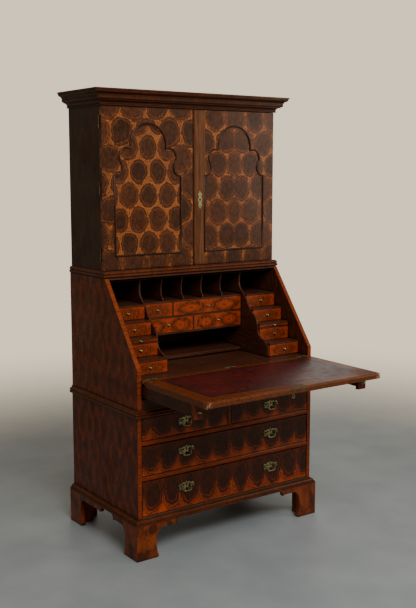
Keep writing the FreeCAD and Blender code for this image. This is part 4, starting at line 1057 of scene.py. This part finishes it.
def door_bead(side):
    """A half-round bead following the arched field on one door."""
    node = "door_" + side + "_bead"
    low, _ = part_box("door_" + side + "_panel")
    centre = arch_centre(side).x
    face_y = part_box("door_" + side + "_frame")[0].y
    base = low.z + ARCH_ABOVE_PANEL_FOOT
    points = [(centre + x, base + z) for x, z in arch_outline()]
    ways = mitred(points)
    made = bmesh.new()
    rows = []
    for (x, z), way in zip(points, ways):
        row = []
        for k in range(BEAD_STEPS + 1):
            a = math.pi * k / BEAD_STEPS
            off, out = math.cos(a) * BEAD_W / 2, math.sin(a) * BEAD_OUT
            row.append(made.verts.new((x + way.x * off, face_y - out, z + way.y * off)))
        rows.append(row)
    for i, row in enumerate(rows):
        following = rows[(i + 1) % len(rows)]
        for k in range(BEAD_STEPS):
            made.faces.new((row[k], row[k + 1], following[k + 1], following[k]))
        made.faces.new((row[-1], row[0], following[0], following[-1]))
    piece = add_piece(node + "_arch", finish_mesh(made, node), bead_wood, "door_" + side)
    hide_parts(node)


door_bead("left")
door_bead("right")


def meeting_bead():
    """The cross-grained astragal down the right door's meeting edge."""
    low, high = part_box("door_right_frame")
    profile = [(0.0, 0.0), (0.8, 2.6), (2.0, 3.2), (3.6, 2.4)]
    profile += [(6.0 + 2.6 * math.cos(a), 1.6 + 2.4 * math.sin(a))
                for a in (math.radians(d) for d in (160, 125, 90, 55, 20))]
    profile += [(9.6, 1.4), (11.0, 1.2), (12.0, 0.0)]
    made = bmesh.new()
    rows = []
    for z in (low.z, high.z):
        rows.append([made.verts.new((low.x + a * MM, low.y - b * MM, z)) for a, b in profile])
    for k in range(len(profile) - 1):
        made.faces.new((rows[0][k], rows[0][k + 1], rows[1][k + 1], rows[1][k]))
    made.faces.new((rows[0][0], rows[1][0], rows[1][-1], rows[0][-1]))
    made.faces.new(rows[0])
    made.faces.new(list(reversed(rows[1])))
    add_piece("door_right_meeting_bead", finish_mesh(made, "astragal"), moulding_wood,
              "door_right", smooth=False)


meeting_bead()


KEYHOLE_FROM_EDGE = 38.75 * MM
KEYHOLE_ABOVE_FRAME_FOOT = 312.0 * MM
KEYHOLE_PROUD = 0.15 * MM


def keyhole_shade_piece():
    """A thin dark piece on the right door's brass plate, painted shade standing for the keyhole's
    dark opening: a round hole above a short slot.
    """
    low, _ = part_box("door_right_frame")
    face_y = low.y - PLATE_T - KEYHOLE_PROUD
    x, z = low.x + KEYHOLE_FROM_EDGE, low.z + KEYHOLE_ABOVE_FRAME_FOOT
    ring = arc_points(0.0, 0.0, 3.8, -60.0, 240.0, 16) + [(-2.1, -12.4), (2.1, -12.4)]
    made = bmesh.new()
    made.faces.new([made.verts.new((x + a * MM, face_y, z + b * MM)) for a, b in ring])
    bmesh.ops.solidify(made, geom=made.faces[:], thickness=0.1 * MM)
    # painted shade: the piece wears the dark bead wood so the keyhole reads as a shaded opening
    add_piece("door_right_keyhole_shade", finish_mesh(made, "keyhole_shade_piece"), bead_wood, "door_right",
              smooth=False)


keyhole_shade_piece()


# ---- floor, light and camera ----
FLOOR_R = 9.0
FLOOR_GREYS = ((138, 146, 152), (150, 157, 162))
# the floor is solid to the first distance from the desk and gone at the second
FLOOR_FADE = (1.7, 5.0)
ROOM = (244, 228, 200)
ROOM_LIT, ROOM_SEEN = 0.28, 1.3
WARM_WHITE = (1.0, 0.97, 0.92)
# name, place, what it points at, size, watts
LIGHTS = (("softbox", (-0.9, -3.4, 4.0), (0, 0, 0.9), (2.8, 2.0), 190.0),
          ("right_fill", (3.4, -2.6, 2.2), (0, 0, 1.0), (1.6, 2.4), 45.0),
          ("back_fill", (2.6, 3.8, 2.6), (0, 0, 1.0), (3.0, 2.6), 21.0))
LENS, FILM_WIDTH = 54.85, 36.0
# metres left of the middle, in front of the chest and above the ground; radians down and aside
CAMERA_LEFT, CAMERA_IN_FRONT, CAMERA_UP = 2.5131, 3.3579, 1.7108
CAMERA_DOWN, CAMERA_ASIDE = 0.1435, 0.6184


def make_floor():
    made = bmesh.new()
    bmesh.ops.create_circle(made, cap_ends=True, radius=FLOOR_R, segments=96)
    mesh = bpy.data.meshes.new("studio_floor")
    made.to_mesh(mesh)
    made.free()
    floor = bpy.data.objects.new("studio_floor", mesh)
    bpy.context.scene.collection.objects.link(floor)
    material, t, skin = new_finish("pale studio floor")
    place = t.object_place()
    tone = t.rise(t.noise(place, 3.0, 4.0), 0.3, 0.7)
    t.feed(skin.inputs["Base Color"], t.between(tone, *FLOOR_GREYS))
    skin.inputs["Roughness"].default_value = 0.5
    t.feed(skin.inputs["Alpha"], t.rise(t.arrow("LENGTH", place), *FLOOR_FADE, 1.0, 0.0))
    mesh.materials.append(material)


def area_light(name, place, aim, size, power):
    light = bpy.data.lights.new(name, "AREA")
    light.shape = "RECTANGLE"
    light.size, light.size_y = size
    light.energy = power
    light.color = WARM_WHITE
    lamp = bpy.data.objects.new(name, light)
    bpy.context.scene.collection.objects.link(lamp)
    lamp.location = place
    lamp.rotation_mode = "QUATERNION"
    lamp.rotation_quaternion = (Vector(aim) - Vector(place)).to_track_quat("-Z", "Y")


def make_world():
    world = bpy.data.worlds.new("pale room")
    world.use_nodes = True
    t = Tree(world.node_tree)
    sky = world.node_tree.nodes["Background"]
    seen = t.add("ShaderNodeLightPath").outputs["Is Camera Ray"]
    t.feed(sky.inputs["Color"], shade_of(*ROOM))
    t.feed(sky.inputs["Strength"], t.pick(seen, ROOM_LIT, ROOM_SEEN))
    bpy.context.scene.world = world


def make_camera():
    lens = bpy.data.cameras.new("camera")
    lens.sensor_width = FILM_WIDTH
    lens.lens = LENS
    camera = bpy.data.objects.new("camera", lens)
    bpy.context.scene.collection.objects.link(camera)
    chest_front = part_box("chest_sides")[0].y
    camera.location = (-CAMERA_LEFT, chest_front - CAMERA_IN_FRONT, CAMERA_UP)
    camera.rotation_euler = (math.pi / 2 - CAMERA_DOWN, 0.0, -CAMERA_ASIDE)
    bpy.context.scene.camera = camera


make_floor()
make_world()
make_camera()
for light_row in LIGHTS:
    area_light(*light_row)
